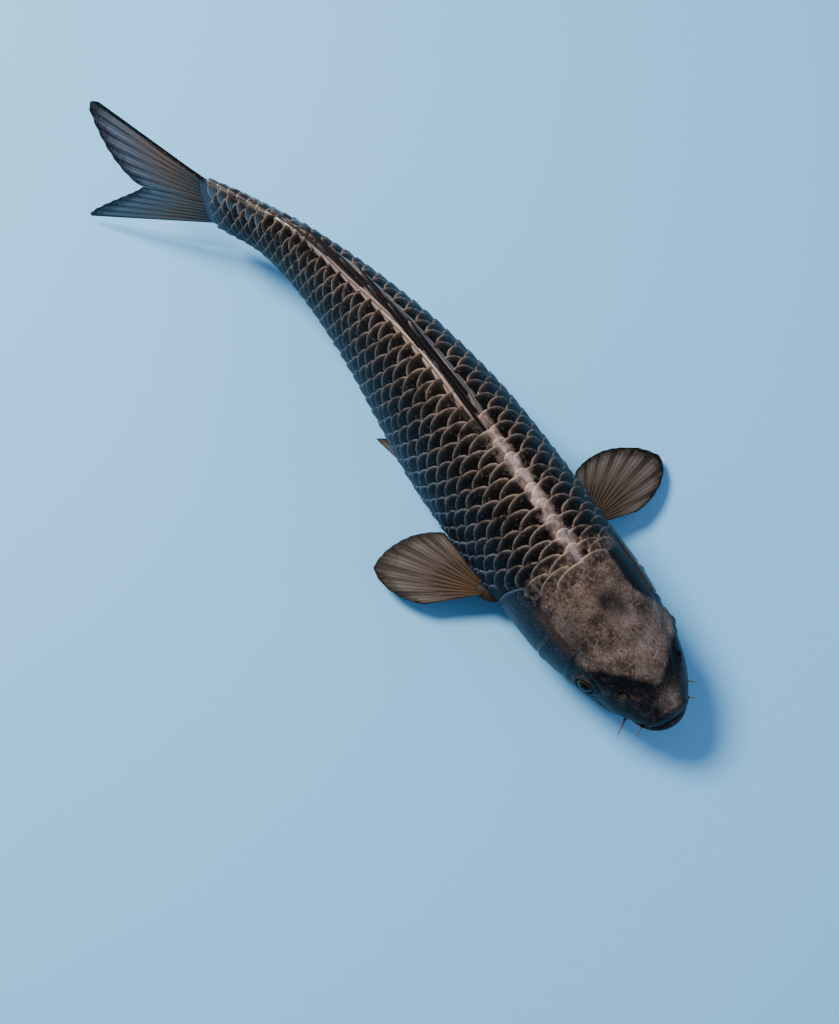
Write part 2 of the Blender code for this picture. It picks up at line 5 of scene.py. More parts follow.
import bpy
import numpy as np
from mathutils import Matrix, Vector


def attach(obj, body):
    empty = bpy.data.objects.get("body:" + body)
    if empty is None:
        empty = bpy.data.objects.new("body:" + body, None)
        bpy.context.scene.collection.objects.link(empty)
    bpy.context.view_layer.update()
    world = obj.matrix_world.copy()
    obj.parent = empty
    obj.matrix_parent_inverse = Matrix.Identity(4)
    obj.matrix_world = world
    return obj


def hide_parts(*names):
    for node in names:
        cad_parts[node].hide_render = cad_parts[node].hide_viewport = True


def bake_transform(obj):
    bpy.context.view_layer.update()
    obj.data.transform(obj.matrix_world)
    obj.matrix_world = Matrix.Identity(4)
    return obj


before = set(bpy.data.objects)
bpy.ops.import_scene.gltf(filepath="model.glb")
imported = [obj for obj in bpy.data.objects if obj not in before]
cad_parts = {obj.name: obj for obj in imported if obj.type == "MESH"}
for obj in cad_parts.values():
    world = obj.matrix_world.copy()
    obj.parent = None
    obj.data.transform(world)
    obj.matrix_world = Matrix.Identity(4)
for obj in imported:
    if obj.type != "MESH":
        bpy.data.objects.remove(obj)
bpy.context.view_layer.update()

# --------------------------------------------------------------------------------------------------------
# Studio: a plain pale floor that stands for a bright tub bottom, a large soft lamp over the tail side, a
# weak fill from the head side, and a camera that looks down on the back from the fish's right.

LOOK_AT = (0.0647, -0.0526, 0.050)
CAMERA_BEARING = 139.03  # degrees from +X, the way the camera looks
CAMERA_ELEVATION = 71.49
CAMERA_DISTANCE = 0.756
LENS = 46.7


def to_linear(hex_colour):
    """An sRGB hex colour as linear red, green, blue, alpha: each channel is (c + 0.055) / 1.055 to the
    power 2.4."""
    channels = [int(hex_colour[k : k + 2], 16) / 255 for k in (1, 3, 5)]
    return (*[c / 12.92 if c <= 0.04045 else ((c + 0.055) / 1.055) ** 2.4 for c in channels], 1.0)


def material(name, **shader):
    """A material and its Principled shader, whose named sockets are set."""
    made = bpy.data.materials.new(name)
    made.use_nodes = True
    principled = made.node_tree.nodes["Principled BSDF"]
    for key, value in shader.items():
        principled.inputs[key.replace("_", " ")].default_value = value
    return made, made.node_tree, principled


bearing = math.radians(CAMERA_BEARING)
elevation = math.radians(CAMERA_ELEVATION)
ahead = Vector((math.cos(bearing), math.sin(bearing), 0))
sight = ahead * math.cos(elevation) - Vector((0, 0, math.sin(elevation)))
camera = bpy.data.objects.new("camera", bpy.data.cameras.new("camera"))
camera.location = Vector(LOOK_AT) - sight * CAMERA_DISTANCE
camera.rotation_euler = sight.to_track_quat("-Z", "Y").to_euler()
camera.data.lens = LENS
camera.data.clip_start = 0.01
bpy.context.collection.objects.link(camera)
bpy.context.scene.camera = camera

floor_mesh = bpy.data.meshes.new("floor")
floor_mesh.from_pydata([(-6, -6, 0), (6, -6, 0), (6, 6, 0), (-6, 6, 0)], [], [(0, 1, 2, 3)])
floor = bpy.data.objects.new("floor", floor_mesh)
floor_paint, _, _ = material("pale_gelcoat", Base_Color=to_linear("#78c6ff"), Roughness=0.8)
floor_mesh.materials.append(floor_paint)
bpy.context.collection.objects.link(floor)

world = bpy.data.worlds.new("studio")
world.use_nodes = True
world.node_tree.nodes["Background"].inputs["Color"].default_value = to_linear("#c4dcf6")
world.node_tree.nodes["Background"].inputs["Strength"].default_value = 0.42
bpy.context.scene.world = world

across_view = Vector((-ahead.y, ahead.x, 0))  # to the left of the view
for name, reach, size, power, colour in (
    ("key", across_view * 0.75 + ahead * 0.55 + Vector((0, 0, 1.25)), 0.55, 44.0, "#fff1e0"),
    ("fill", across_view * -1.2 - ahead * 0.5 + Vector((0, 0, 0.9)), 1.2, 5.0, "#cfe0ff"),
):
    lamp = bpy.data.lights.new(name, "AREA")
    lamp.shape = "DISK"
    lamp.size = size
    lamp.energy = power
    lamp.color = to_linear(colour)[:3]
    light = bpy.data.objects.new(name, lamp)
    light.location = Vector(LOOK_AT) + reach
    light.rotation_euler = (-reach).to_track_quat("-Z", "Y").to_euler()
    bpy.context.collection.objects.link(light)

# --------------------------------------------------------------------------------------------------------
# Bare skin under the scales: a tough, dark, wet skin drawn over the muscle. It is one tube per joint. A
# place on it is a station, its distance from the snout as a share of the length, and an angle round the
# section, where 0 is the left side and 90 the back.

LENGTH = 0.500
SNOUT = (0.2440, -0.0237)
SPINE_STATIONS = (0.00, 0.12, 0.24, 0.36, 0.48, 0.60, 0.70, 0.82, 1.00)
SPINE_HEADINGS = (170.2, 176.8, 174.5, 174.1, 174.2, 179.6, 186.2, 202.4, 207.0)
STATIONS = (0.000, 0.012, 0.030, 0.080, 0.140, 0.200, 0.300, 0.400, 0.500, 0.600, 0.700, 0.760, 0.820, 0.850)
HALF_WIDTHS = (0.016, 0.030, 0.043, 0.062, 0.071, 0.073, 0.073, 0.070, 0.057, 0.041, 0.0270, 0.0195, 0.0140,
               0.0050)
BACKS = (0.084, 0.094, 0.108, 0.138, 0.166, 0.188, 0.214, 0.222, 0.211, 0.188, 0.163, 0.152, 0.153, 0.158)
BELLIES = (0.052, 0.044, 0.034, 0.018, 0.008, 0.001, -0.011, -0.012, 0.003, 0.024, 0.051, 0.060, 0.056,
           0.051)
WIDEST = 0.46
FLOOR_GAP = 0.0003


def smooth(x, knots, values):
    """The cubic curve through the values, with each knot's slope taken from its neighbours."""
    knots, values = np.asarray(knots, float), np.asarray(values, float)
    slopes = np.gradient(values, knots)
    i = np.clip(np.searchsorted(knots, x) - 1, 0, len(knots) - 2)
    h = knots[i + 1] - knots[i]
    t = (np.asarray(x, float) - knots[i]) / h
    low = (1 + 2 * t) * (1 - t) ** 2 * values[i] + t * (1 - t) ** 2 * h * slopes[i]
    return low + t * t * (3 - 2 * t) * values[i + 1] - t * t * (1 - t) * h * slopes[i + 1]


def step(low, high, x):
    """0 below low, 1 above high, and 3t^2 - 2t^3 between them."""
    t = np.clip((np.asarray(x, float) - low) / (high - low), 0, 1)
    return t * t * (3 - 2 * t)


def hill(distance, width):
    """A rounded hill: e to the power minus (distance / width) squared."""
    return np.exp(-((distance / width) ** 2))


STEPS = np.linspace(-0.02, 1.10, 1121)
HEADINGS = np.radians(smooth(np.clip(STEPS, 0, 1), SPINE_STATIONS, SPINE_HEADINGS))
LINE_X = np.cumsum(np.cos(HEADINGS)) * (STEPS[1] - STEPS[0]) * LENGTH
LINE_Y = np.cumsum(np.sin(HEADINGS)) * (STEPS[1] - STEPS[0]) * LENGTH
LINE_X += SNOUT[0] - np.interp(0, STEPS, LINE_X)
LINE_Y += SNOUT[1] - np.interp(0, STEPS, LINE_Y)


def place(station, across, height):
    """Points so far along the spine line, so far to its left and so high."""
    heading = np.interp(station, STEPS, HEADINGS)
    x = np.interp(station, STEPS, LINE_X) + np.sin(heading) * across
    y = np.interp(station, STEPS, LINE_Y) - np.cos(heading) * across
    return np.stack(np.broadcast_arrays(x, y, height), -1)


def ways(station):
    """The fish's forward and left directions at a station."""
    heading = np.interp(station, STEPS, HEADINGS)
    forward = np.array([-math.cos(heading), -math.sin(heading), 0.0])
    left = np.array([math.sin(heading), -math.cos(heading), 0.0])
    return forward, left


def section(station):
    """Half width, back, belly and widest height of the body, in metres."""
    half, back, belly = (smooth(station, STATIONS, v) * LENGTH for v in (HALF_WIDTHS, BACKS, BELLIES))
    return half, back, belly, belly + WIDEST * (back - belly)


def outline(station, angle):
    """Across and height of the skin: a rounded section, |cos| and |sin| raised to powers near 1."""
    half, back, belly, widest = section(station)
    c, s = np.cos(np.radians(angle)), np.sin(np.radians(angle))
    top_power = 0.86 + 0.20 * np.minimum(1.0, station / 0.30)
    power = np.where(s > 0, top_power, 0.86)
    across = np.sign(c) * np.abs(c) ** power * half
    height = widest + np.sign(s) * np.abs(s) ** power * np.where(s > 0, back - widest, widest - belly)
    return across, height


def body_point(station, angle):
    """Points on the body's surface. Its first stations close to a round snout, as the root of 1 - t^2."""
    bluff = 0.012
    t = np.clip((bluff - station) / (bluff + 0.0005), 0, 1)
    close = np.sqrt(1 - t * t)
    across, height = outline(np.maximum(station, bluff), angle)
    _, _, _, middle = section(np.maximum(station, bluff))
    return place(station, across * close, middle + (height - middle) * close)


def lifted(station, angle, lift):
    """Points a lift above the body's surface, along its normal, and never below the floor."""
    station, angle, lift = np.broadcast_arrays(station, angle, lift)
    down_body = body_point(station + 0.001, angle) - body_point(station - 0.001, angle)
    round_body = body_point(station, angle + 0.5) - body_point(station, angle - 0.5)
    normal = np.cross(down_body, round_body)
    normal /= np.maximum(np.linalg.norm(normal, axis=-1, keepdims=True), 1e-12)
    points = body_point(station, angle) + normal * lift[..., None]
    points[..., 2] = np.maximum(points[..., 2], FLOOR_GAP)
    return points


def piece(name, points, faces, paint, values=None, body=None):
    """A smooth-shaded mesh object with per-point attributes, riding on a body."""
    mesh = bpy.data.meshes.new(name)
    mesh.from_pydata(points.reshape(-1, 3), [], faces)
    mesh.update()
    mesh.shade_smooth()
    for key, value in (values or {}).items():
        layer = mesh.attributes.new(key, "FLOAT", "POINT")
        layer.data.foreach_set("value", np.broadcast_to(value, points.shape[:-1]).astype(np.float32).ravel())
    mesh.materials.append(paint)
    made = bpy.data.objects.new(name, mesh)
    bpy.context.collection.objects.link(made)
    if body:
        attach(made, body)
    return made


def grid_faces(rows, columns, start=0, closed=False, flip=False):
    """Quads of a grid of points, closed round its columns or not."""
    r, k = np.meshgrid(np.arange(rows - 1), np.arange(columns if closed else columns - 1), indexing="ij")
    following = (k + 1) % columns
    corners = ((r, k), (r, following), (r + 1, following), (r + 1, k))
    quads = np.stack([row * columns + column for row, column in corners], -1).reshape(-1, 4) + start
    return quads[:, ::-1] if flip else quads


def tube_skin(name, first, last, rows, paint, lift=0.0, columns=180):
    """A stretch of body skin: the body's surface between two stations, with its ends tucked in."""
    stations = np.linspace(first, last, rows)
    stations = np.concatenate([stations[:1], stations, stations[-1:]])[:, None]
    tuck = np.zeros(rows + 2)
    tuck[[0, -1]] = -0.002
    angles = np.arange(columns)[None, :] * 360 / columns
    points = lifted(stations, angles, tuck[:, None] + lift + shoulder(stations, angles))
    values = {"girth": np.abs((angles - 90 + 180) % 360 - 180) / 180, "station": stations}
    return piece(name, points, grid_faces(rows + 2, columns, closed=True), paint, values)


def on_side(angle):
    """The angle measured from the nearer side, so that left and right are alike."""
    turned = (angle + 90) % 360 - 90
    return np.where(turned > 90, 180 - turned, turned)


def shoulder(station, angle):
    """The bony rim behind the gill cover, and the step down in front of it that the cover closes on."""
    side = on_side(angle)
    flank = step(-58, -44, side) * (1 - step(26, 40, side))
    rim = 0.0010 * hill(station - 0.231, 0.006)
    sink = -0.0030 * (1 - step(0.2205, 0.2260, station))
    return flank * (rim + sink)


def node(tree, kind, inputs=None, **settings):
    """Adds a shader node. inputs maps a socket's name or number to a value or to another node's output."""
    made = tree.nodes.new("ShaderNode" + kind)
    for key, value in settings.items():
        setattr(made, key, value)
    for key, value in (inputs or {}).items():
        if isinstance(value, bpy.types.NodeSocket):
            tree.links.new(value, made.inputs[key])
        else:
            made.inputs[key].default_value = value
    return made


def ramp(tree, factor, stops, interpolation="LINEAR"):
    """A colour ramp's colour output. stops are (place, hex colour)."""
    made = node(tree, "ValToRGB", {"Fac": factor})
    band = made.color_ramp
    band.interpolation = interpolation
    while len(band.elements) < len(stops):
        band.elements.new(0.5)
    for element, (place_on, colour) in zip(band.elements, stops):
        element.position = place_on
        element.color = to_linear(colour)
    return made.outputs["Color"]


def mix(tree, factor, first, second, blend_type="MIX"):
    """The colour output of a Mix node. first and second are sockets or hex colours."""
    made = node(tree, "Mix", {0: factor}, data_type="RGBA", blend_type=blend_type)
    for socket, value in ((6, first), (7, second)):
        if isinstance(value, str):
            made.inputs[socket].default_value = to_linear(value)
        else:
            tree.links.new(value, made.inputs[socket])
    return made.outputs[2]


def maths(tree, operation, *values, clamp=False):
    """The output of a Math node."""
    return node(tree, "Math", dict(enumerate(values)), operation=operation, use_clamp=clamp).outputs[0]


def noise(tree, size, detail=3.0, roughness=0.5, stretch=(1, 1, 1)):
    """Noise on Object coordinates whose blotches are about size metres across."""
    place_on = node(tree, "TexCoord").outputs["Object"]
    turned = node(tree, "Mapping", {"Vector": place_on, "Scale": stretch})
    values = {"Vector": turned.outputs[0], "Scale": 1 / size, "Detail": detail, "Roughness": roughness}
    return node(tree, "TexNoise", values).outputs["Fac"]


def attribute(tree, name):
    """The value of a per-point attribute."""
    return node(tree, "Attribute", attribute_name=name).outputs["Fac"]


def bump(tree, principled, height, depth, strength=1.0):
    """Bumps of the given depth in metres."""
    made = node(tree, "Bump", {"Height": height, "Distance": depth, "Strength": strength})
    tree.links.new(made.outputs[0], principled.inputs["Normal"])


# Bare skin: slimy hide over black pigment. It shines softly, tan along the ridge and slate on the belly.
skin_paint, tree, shader = material("wet_dark_skin", Roughness=0.5, IOR=1.20)
girth = attribute(tree, "girth")
ridge_band = maths(tree, "ADD", girth, maths(tree, "MULTIPLY", noise(tree, 0.006), 0.10))
tones = [(0.05, "#6d5c53"), (0.11, "#2b2420"), (0.20, "#0b0a0b"), (0.60, "#0c1016"), (0.85, "#4a515b")]
skin_colour = ramp(tree, ridge_band, tones)
limits = {"Value": attribute(tree, "station"), "From Min": 0.795, "From Max": 0.835}
skin_colour = mix(tree, node(tree, "MapRange", limits).outputs[0], skin_colour, "#3c424e")
speckle = maths(tree, "GREATER_THAN", noise(tree, 0.0016, 2.0), 0.62)
speckled = mix(tree, speckle, skin_colour, mix(tree, 0.6, skin_colour, "#120f0e"))
tree.links.new(speckled, shader.inputs["Base Color"])
bump(tree, shader, noise(tree, 0.0025), 0.0004, 0.5)

# name, first and last station, rows, the bodies ahead of and behind its joint, where its bend starts and
# ends, and the node that its skin replaces
ZONES = (
    ("nape", 0.216, 0.345, 60, "head", "trunk_front", 0.222, 0.262, "trunk_front"),
    ("back", 0.345, 0.505, 60, "trunk_front", "trunk_middle", 0.415, 0.495, "trunk_middle"),
    ("loin", 0.505, 0.605, 40, "trunk_middle", "trunk_rear", 0.515, 0.595, "trunk_rear"),
    ("flank_end", 0.605, 0.700, 40, "trunk_rear", "stalk_front", 0.615, 0.695, "stalk_front"),
    ("stalk", 0.700, 0.780, 34, "stalk_front", "stalk_rear", 0.705, 0.775, "stalk_rear"),
    ("stalk_end", 0.780, 0.846, 34, "stalk_rear", "tail_root", 0.785, 0.835, "tail_root"),
)


def bend(made, zone):
    """Bakes a zone's piece where it stands. The bend's start and end are worked out but not used, so the
    piece does not follow the bodies on both sides of its joint.
    """
    ahead_body, behind_body, start, end = zone[4:8]
    middle = float(section(start)[3])
    start, end = tuple(place(start, 0, middle)), tuple(place(end, 0, middle))
    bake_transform(made)


for zone in ZONES:
    skin_tube = tube_skin("skin_" + zone[0], zone[1], zone[2], zone[3], skin_paint, lift=-0.0004)
    bend(skin_tube, zone)
    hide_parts(zone[8])

# --------------------------------------------------------------------------------------------------------
# Scales: thin, clear bony plates over dark pigment, set like roof tiles. Each has a rounded rear edge
# that stands proud, and the next row is half a scale behind. They are about 9.6 mm apart along the body
# and 11.2 mm round it, and smaller towards the tail.

SCALE_LONG, SCALE_TALL = 0.0096, 0.0112
SCALES_START, SCALES_END = 0.166, 0.830
EXPOSED, HIDDEN = 0.56, 0.78  # how far a scale reaches behind and ahead of its middle, in scale lengths

ARC_STATIONS = np.linspace(0.15, 0.87, 145)
ARC_ANGLES = np.linspace(90, -90, 181)
arc_across, arc_height = outline(ARC_STATIONS[:, None], ARC_ANGLES[None, :])
arc_steps = np.hypot(np.diff(arc_across, axis=1), np.diff(arc_height, axis=1))
ARC_LENGTHS = np.concatenate([np.zeros((len(ARC_STATIONS), 1)), np.cumsum(arc_steps, axis=1)], axis=1)
ARC_REACH = np.linspace(0, 0.17, 341)
ANGLE_TABLE = np.array([np.interp(ARC_REACH, lengths, ARC_ANGLES) for lengths in ARC_LENGTHS])


def angle_at(station, reach):
    """The angle round the section at a reach from the back's ridge, measured over the skin, left
    positive."""
    spacing = ARC_STATIONS[1] - ARC_STATIONS[0]
    row = np.clip((station - ARC_STATIONS[0]) / spacing, 0, len(ARC_STATIONS) - 1.001)
    column = np.clip(np.abs(reach) / ARC_REACH[1], 0, len(ARC_REACH) - 1.001)
    r, c = row.astype(int), column.astype(int)
    fr, fc = row - r, column - c
    upper = ANGLE_TABLE[r, c] * (1 - fc) + ANGLE_TABLE[r, c + 1] * fc
    lower = ANGLE_TABLE[r + 1, c] * (1 - fc) + ANGLE_TABLE[r + 1, c + 1] * fc
    down = 90 - (upper * (1 - fr) + lower * fr)
    return 90 - np.sign(reach) * down


def scale_shrink(station):
    """Scale size as a share of the largest: full to the loin, then falling to 0.7 at the tail."""
    return 1.0 - 0.30 * step(0.52, 0.84, station) - 0.30 * (1 - step(0.165, 0.25, station))


def scale_places():
    """Station, reach, height share and tone of every scale, row by row from the ridge to the belly."""
    dice = np.random.default_rng(7)
    fine = np.linspace(SCALES_START, SCALES_END, 800)
    count = np.concatenate([[0], np.cumsum(np.diff(fine) * LENGTH / (SCALE_LONG * scale_shrink(fine[1:])))])
    half_girth = ARC_LENGTHS[:, -1]
    found = []
    for side in (1, -1):
        for row in range(14):
            turn = np.arange(0.5 * (row % 2), count[-1], 1.0)
            station = np.interp(turn, count, fine)
            reach = (row + 0.62) * SCALE_TALL * (1.0 - 0.34 * step(0.50, 0.84, station))
            angle = 90 - side * (90 - angle_at(station, reach))
            start = 0.175 + 0.057 * step(0.018, 0.056, reach) + dice.normal(0, 0.003)
            keep = (station > start) & (reach < np.interp(station, ARC_STATIONS, half_girth) - 0.0015)
            found.append(np.stack([station, side * reach, np.ones_like(turn), angle], -1)[keep])
    for first, last in ((0.196, 0.345), (0.665, SCALES_END)):
        turn = np.arange(0.25, count[-1], 1.0)
        station = np.interp(turn, count, fine)
        keep = (station > first) & (station < last)
        zero = np.zeros_like(station)
        found.append(np.stack([station, zero, zero + 0.42, zero + 90], -1)[keep])
    scales = np.concatenate(found)
    scales[:, 0] += dice.normal(0, 0.00045, len(scales))
    scales[:, 1] += dice.normal(0, 0.00025, len(scales)) * (scales[:, 2] > 0.9)
    return scales, dice.uniform(0, 1, len(scales)), dice.normal(0, 1, len(scales))


def scale_meshes(scales, tone, wobble):
    """Points (scale, row, column) of all scales, and their attributes.

    The rear edge is half an ellipse. The plate rises from under the scales ahead to its rear edge,
    crowned across, and then drops to the skin.
    """
    station, reach, share = (scales[:, k][:, None, None] for k in range(3))
    shrink = scale_shrink(station)
    long, tall = SCALE_LONG * shrink, SCALE_TALL * (1.0 - 0.30 * step(0.52, 0.84, station)) * share
    y = np.sin(np.linspace(-1, 1, 9) * math.pi / 2)[None, None, :] * 0.985
    rear = EXPOSED * np.sqrt(1 - y * y) * (1 + 0.05 * wobble[:, None, None])
    along = np.array([0.0, 0.45, 0.72, 0.88, 0.96, 1.0, 1.0])[None, :, None]
    front = -HIDDEN * (0.55 + 0.45 * np.sqrt(1 - y * y))
    x = front + (rear - front) * along
    turn = 0.05 * wobble[:, None, None]
    side = np.sign(reach + 1e-9)
    u = station + (x * long + turn * y * tall) / LENGTH
    over = reach + (y * tall * 1.02) * side
    crown = 0.00060 * (1 - y * y) * (x + 0.78)
    height = 0.00115 * (x + 0.36) + crown + 0.00025 * (share < 0.9) + 0.00008 * wobble[:, None, None]
    drop = np.array([0, 0, 0, 0, -0.00004, -0.00030, -0.0014])[None, :, None]
    points = lifted(u, angle_at(u, over), height * np.minimum(1, shrink) + drop)
    values = {
        "rim": np.broadcast_to((rear - x) * long * np.sqrt(1.02 - y * y) * 1000, u.shape),
        "girth": np.abs(over) / 0.15,
        "station": u,
        "tone": np.broadcast_to(tone[:, None, None], u.shape),
    }
    return points, values


def scale_finish(name, coat, ior):
    """Scale plate: a clear bony layer over black pigment. The free edge has no pigment, so it is a pale
    line, and a painted highlight peaks on it and fades over the core.
    The line is warm near the back, its blue-grey on the flanks is a painted blue reflection, and fine growth
    rings run along it."""
    paint, tree, shader = material(name, Coat_Weight=coat, Coat_Roughness=0.16, IOR=ior)
    rim = attribute(tree, "rim")
    ragged = maths(tree, "MULTIPLY_ADD", noise(tree, 0.0060, 3.0, 0.6), 0.08, -0.040)
    girth = maths(tree, "ADD", attribute(tree, "girth"), ragged)
    for start, end, shift in ((0.32, 0.38, 0.012), (0.60, 0.68, 0.040)):
        limits = {"Value": attribute(tree, "station"), "From Min": start, "From Max": end, "To Max": shift}
        girth = maths(tree, "ADD", girth, node(tree, "MapRange", limits).outputs[0])
    mottle = noise(tree, 0.0022, 4.0, 0.6)
    edge = maths(tree, "ADD", rim, maths(tree, "MULTIPLY", maths(tree, "SUBTRACT", mottle, 0.5), 1.5))
    # Rim line: the pale unpigmented edge, and a painted highlight that peaks just inside it and fades over
    # the core.
    rim_and_highlight_falloff = [(0.00, "#8a8a8a"), (0.03, "#c4c4c4"), (0.07, "#7c7c7c")]
    rim_and_highlight_falloff += [(0.14, "#484848"), (0.27, "#202020"), (0.45, "#000000")]
    line = ramp(tree, maths(tree, "MULTIPLY", edge, 0.1), rim_and_highlight_falloff)
    # Rim colours round the body: warm and pale at the ridge, partly a painted highlight, and a painted blue
    # reflection on the flanks.
    pale = [(0.02, "#ddc3b4"), (0.05, "#ad998d"), (0.20, "#8d827c"), (0.38, "#7c828f"), (0.60, "#6a7fa6")]
    # Core colours round the body: the pale pinkish band at the ridge is partly the real tan skin and partly
    # a painted highlight.
    dark = [(0.00, "#b9a4a0"), (0.016, "#806c66"), (0.036, "#120f0e")]
    dark += [(0.30, "#050505"), (0.50, "#050608"), (0.80, "#171a1f")]
    warm = ramp(tree, girth, pale)
    core = ramp(tree, girth, dark)
    shade = mix(tree, maths(tree, "MULTIPLY", attribute(tree, "tone"), 0.45), core, "#030303")
    bare = {"Value": attribute(tree, "station"), "From Min": 0.800, "From Max": 0.832, "To Max": 0.60}
    shade = mix(tree, node(tree, "MapRange", bare).outputs[0], shade, "#434855")
    nape = maths(tree, "MULTIPLY_ADD", noise(tree, 0.0060, 4.0, 0.7), 0.10, attribute(tree, "station"))
    limits = {"Value": nape, "From Min": 0.235, "From Max": 0.255, "To Min": 0.85, "To Max": 0.0}
    tan = ramp(tree, mottle, [(0.42, "#3c3029"), (0.62, "#6f5e53")])
    shade = mix(tree, node(tree, "MapRange", limits).outputs[0], shade, tan)
    fleck = maths(tree, "MULTIPLY", maths(tree, "GREATER_THAN", mottle, 0.62), 0.10)
    base = mix(tree, fleck, shade, warm)
    # The rim line and its painted highlight are broken into random patches.
    patchy = maths(tree, "MULTIPLY_ADD", noise(tree, 0.007, 3.0, 0.65), 3.4, -0.90, clamp=True)
    tree.links.new(mix(tree, maths(tree, "MULTIPLY", line, patchy), base, warm), shader.inputs["Base Color"])
    gloss = ramp(tree, girth, [(0.00, "#909090"), (0.06, "#a0a0a0"), (0.20, "#b0b0b0")])
    tree.links.new(gloss, shader.inputs["Roughness"])
    rings = maths(tree, "SINE", maths(tree, "MULTIPLY", rim, 14.0))
    relief = maths(tree, "ADD", maths(tree, "MULTIPLY", rings, 0.12), mottle)
    bump(tree, shader, relief, 0.00035, 0.8)
    return paint


flank_paint = scale_finish("scale_under_water", 0.0, 1.13)
ridge_paint = scale_finish("wet_scale", 0.50, 1.42)
RIDGE_HALF = 0.005  # how far from the ridge the scales stand out of the water

places, tones, wobbles = scale_places()
COLUMNS, ROWS = 9, 7
for zone in ZONES:
    low = 0.0 if zone[0] == "nape" else zone[1]
    high = 1.0 if zone[0] == "stalk_end" else zone[2]
    mine = (places[:, 0] >= low) & (places[:, 0] < high)
    points, values = scale_meshes(places[mine], tones[mine], wobbles[mine])
    one = grid_faces(ROWS, COLUMNS)
    sides = np.where(places[mine][:, 1] < 0, -1, 1)
    offsets = np.arange(len(points)) * ROWS * COLUMNS
    faces = np.concatenate([(one if s > 0 else one[:, ::-1]) + o for s, o in zip(sides, offsets)])
    scales = piece("scales_" + zone[0], points, faces, flank_paint, values)
    scales.data.materials.append(ridge_paint)
    near_ridge = np.repeat(np.abs(places[mine][:, 1]) < RIDGE_HALF, len(one))
    scales.data.polygons.foreach_set("material_index", near_ridge.astype(np.int32))
    bend(scales, zone)

# --------------------------------------------------------------------------------------------------------
# Head: bare, wet skin stretched over the skull, tan and flecked on top, blue-black on the cheeks and
# round the snout. The eye sockets, nostrils, brow and the room under the gill covers are worked in the
# one surface.

HEAD_END = 0.224
JAW_HINGE = 0.078
MOUTH_LINE = 0.056
EYE_STATION, EYE_ANGLE = 0.086, 14.0
HEAD_ROWS, HEAD_COLUMNS = 210, 300


def mouth_height(station):
    """Height of the mouth line, which falls by a tenth of the way back from the snout."""
    return (MOUTH_LINE - 0.10 * station) * LENGTH


def head_relief(station, angle):
    """Height of the head's relief: sums of rounded hills and smooth steps."""
    side = on_side(angle)
    point = body_point(station, angle)
    lift = np.zeros(np.broadcast(station, angle).shape)
    for mirrored in (EYE_ANGLE, 180 - EYE_ANGLE):
        eye = np.linalg.norm(point - body_point(np.array(EYE_STATION), np.array(mirrored)), axis=-1)
        lift += 0.0009 * hill(eye - 0.0066, 0.0020) - 0.0034 * (1 - step(0.0048, 0.0060, eye))
        lift -= 0.0005 * hill(eye - 0.0100, 0.0012)
    for mirrored in (44.0, 136.0):
        pit = np.linalg.norm(point - body_point(np.array(0.052), np.array(mirrored)), axis=-1)
        flap = np.linalg.norm(point - body_point(np.array(0.0465), np.array(mirrored)), axis=-1)
        lift += 0.0013 * hill(flap, 0.0014) - 0.0022 * hill(pit, 0.0015) + 0.0004 * hill(pit - 0.003, 0.0008)
    lift += 0.0012 * hill(side - 34, 10) * hill(station - 0.082, 0.020)
    lift -= 0.0010 * hill(side - 2, 9) * hill(station - 0.060, 0.012)
    lift -= 0.0006 * hill(side - 52 + 300 * (station - 0.06), 5) * step(0.03, 0.05, station)
    cheek_ridge = hill(station - 0.108 - 0.0002 * side, 0.004)
    lift += 0.0007 * cheek_ridge * step(-50, -20, side) * (1 - step(20, 34, side))
    recess = step(0.1160, 0.1260, station) * step(-52, -48, side) * (1 - step(31, 36, side))
    chamber = step(0.136, 0.140, station) * (1 - step(0.203, 0.206, station))
    chamber = chamber * step(-36, -32, side) * (1 - step(24, 28, side))
    lift += -0.0027 * recess - 0.0100 * chamber
    above_mouth = point[..., 2] - mouth_height(station) - 0.003
    return lift - 0.0022 * hill(above_mouth, 0.0040) * (1 - step(0.030, 0.050, station))


def mouth_roof(points, station):
    """Points under the mouth line are raised to it, and to a low vault inside the lips."""
    forward, left = ways(0.04)
    middle = place(station, 0.0, 0.0)
    across = np.abs(((points - middle) * left).sum(-1))
    half = section(np.maximum(station, 0.012))[0]
    vault = 0.0045 * np.clip(1 - (across / (0.55 * half)) ** 2, 0, 1) * step(0.014, 0.026, station)
    line = mouth_height(station) + 0.0004
    inside = (station < JAW_HINGE + 0.002) & (points[..., 2] < line)
    points[..., 2] = np.where(inside, line + vault * (1 - step(0.060, 0.076, station)), points[..., 2])
    return points


snout_rows = 0.012 - 0.0125 * np.cos(np.linspace(0, math.pi / 2, 26))[:-1]
rows = np.concatenate([snout_rows, np.linspace(0.012, HEAD_END, HEAD_ROWS)])
stations = rows[:, None]
angles = np.arange(HEAD_COLUMNS)[None, :] * 360 / HEAD_COLUMNS
points = lifted(stations, angles, head_relief(stations, angles) - 0.0002)
points = mouth_roof(points, stations)
points[0] = points[0].mean(axis=0)
across = np.cos(np.radians(angles)) * section(np.maximum(stations, 0.012))[0] * (angles < 180)
edge_right = 0.031 * step(0.036, 0.125, stations) ** 0.6
edge_left = 0.0295 * step(0.034, 0.092, stations) ** 0.7 - 0.012 * step(0.100, 0.135, stations)
edge = np.where(across > 0, edge_left, edge_right) - 0.010 * step(0.165, 0.20, stations)
tan = (1 - step(-0.0035, 0.0020, np.abs(across) - edge)) * step(0.034, 0.043, stations) * (angles < 180)
nose = hill(stations - 0.020, 0.0085) * hill(across - 0.0030, 0.0060) * (angles < 180)
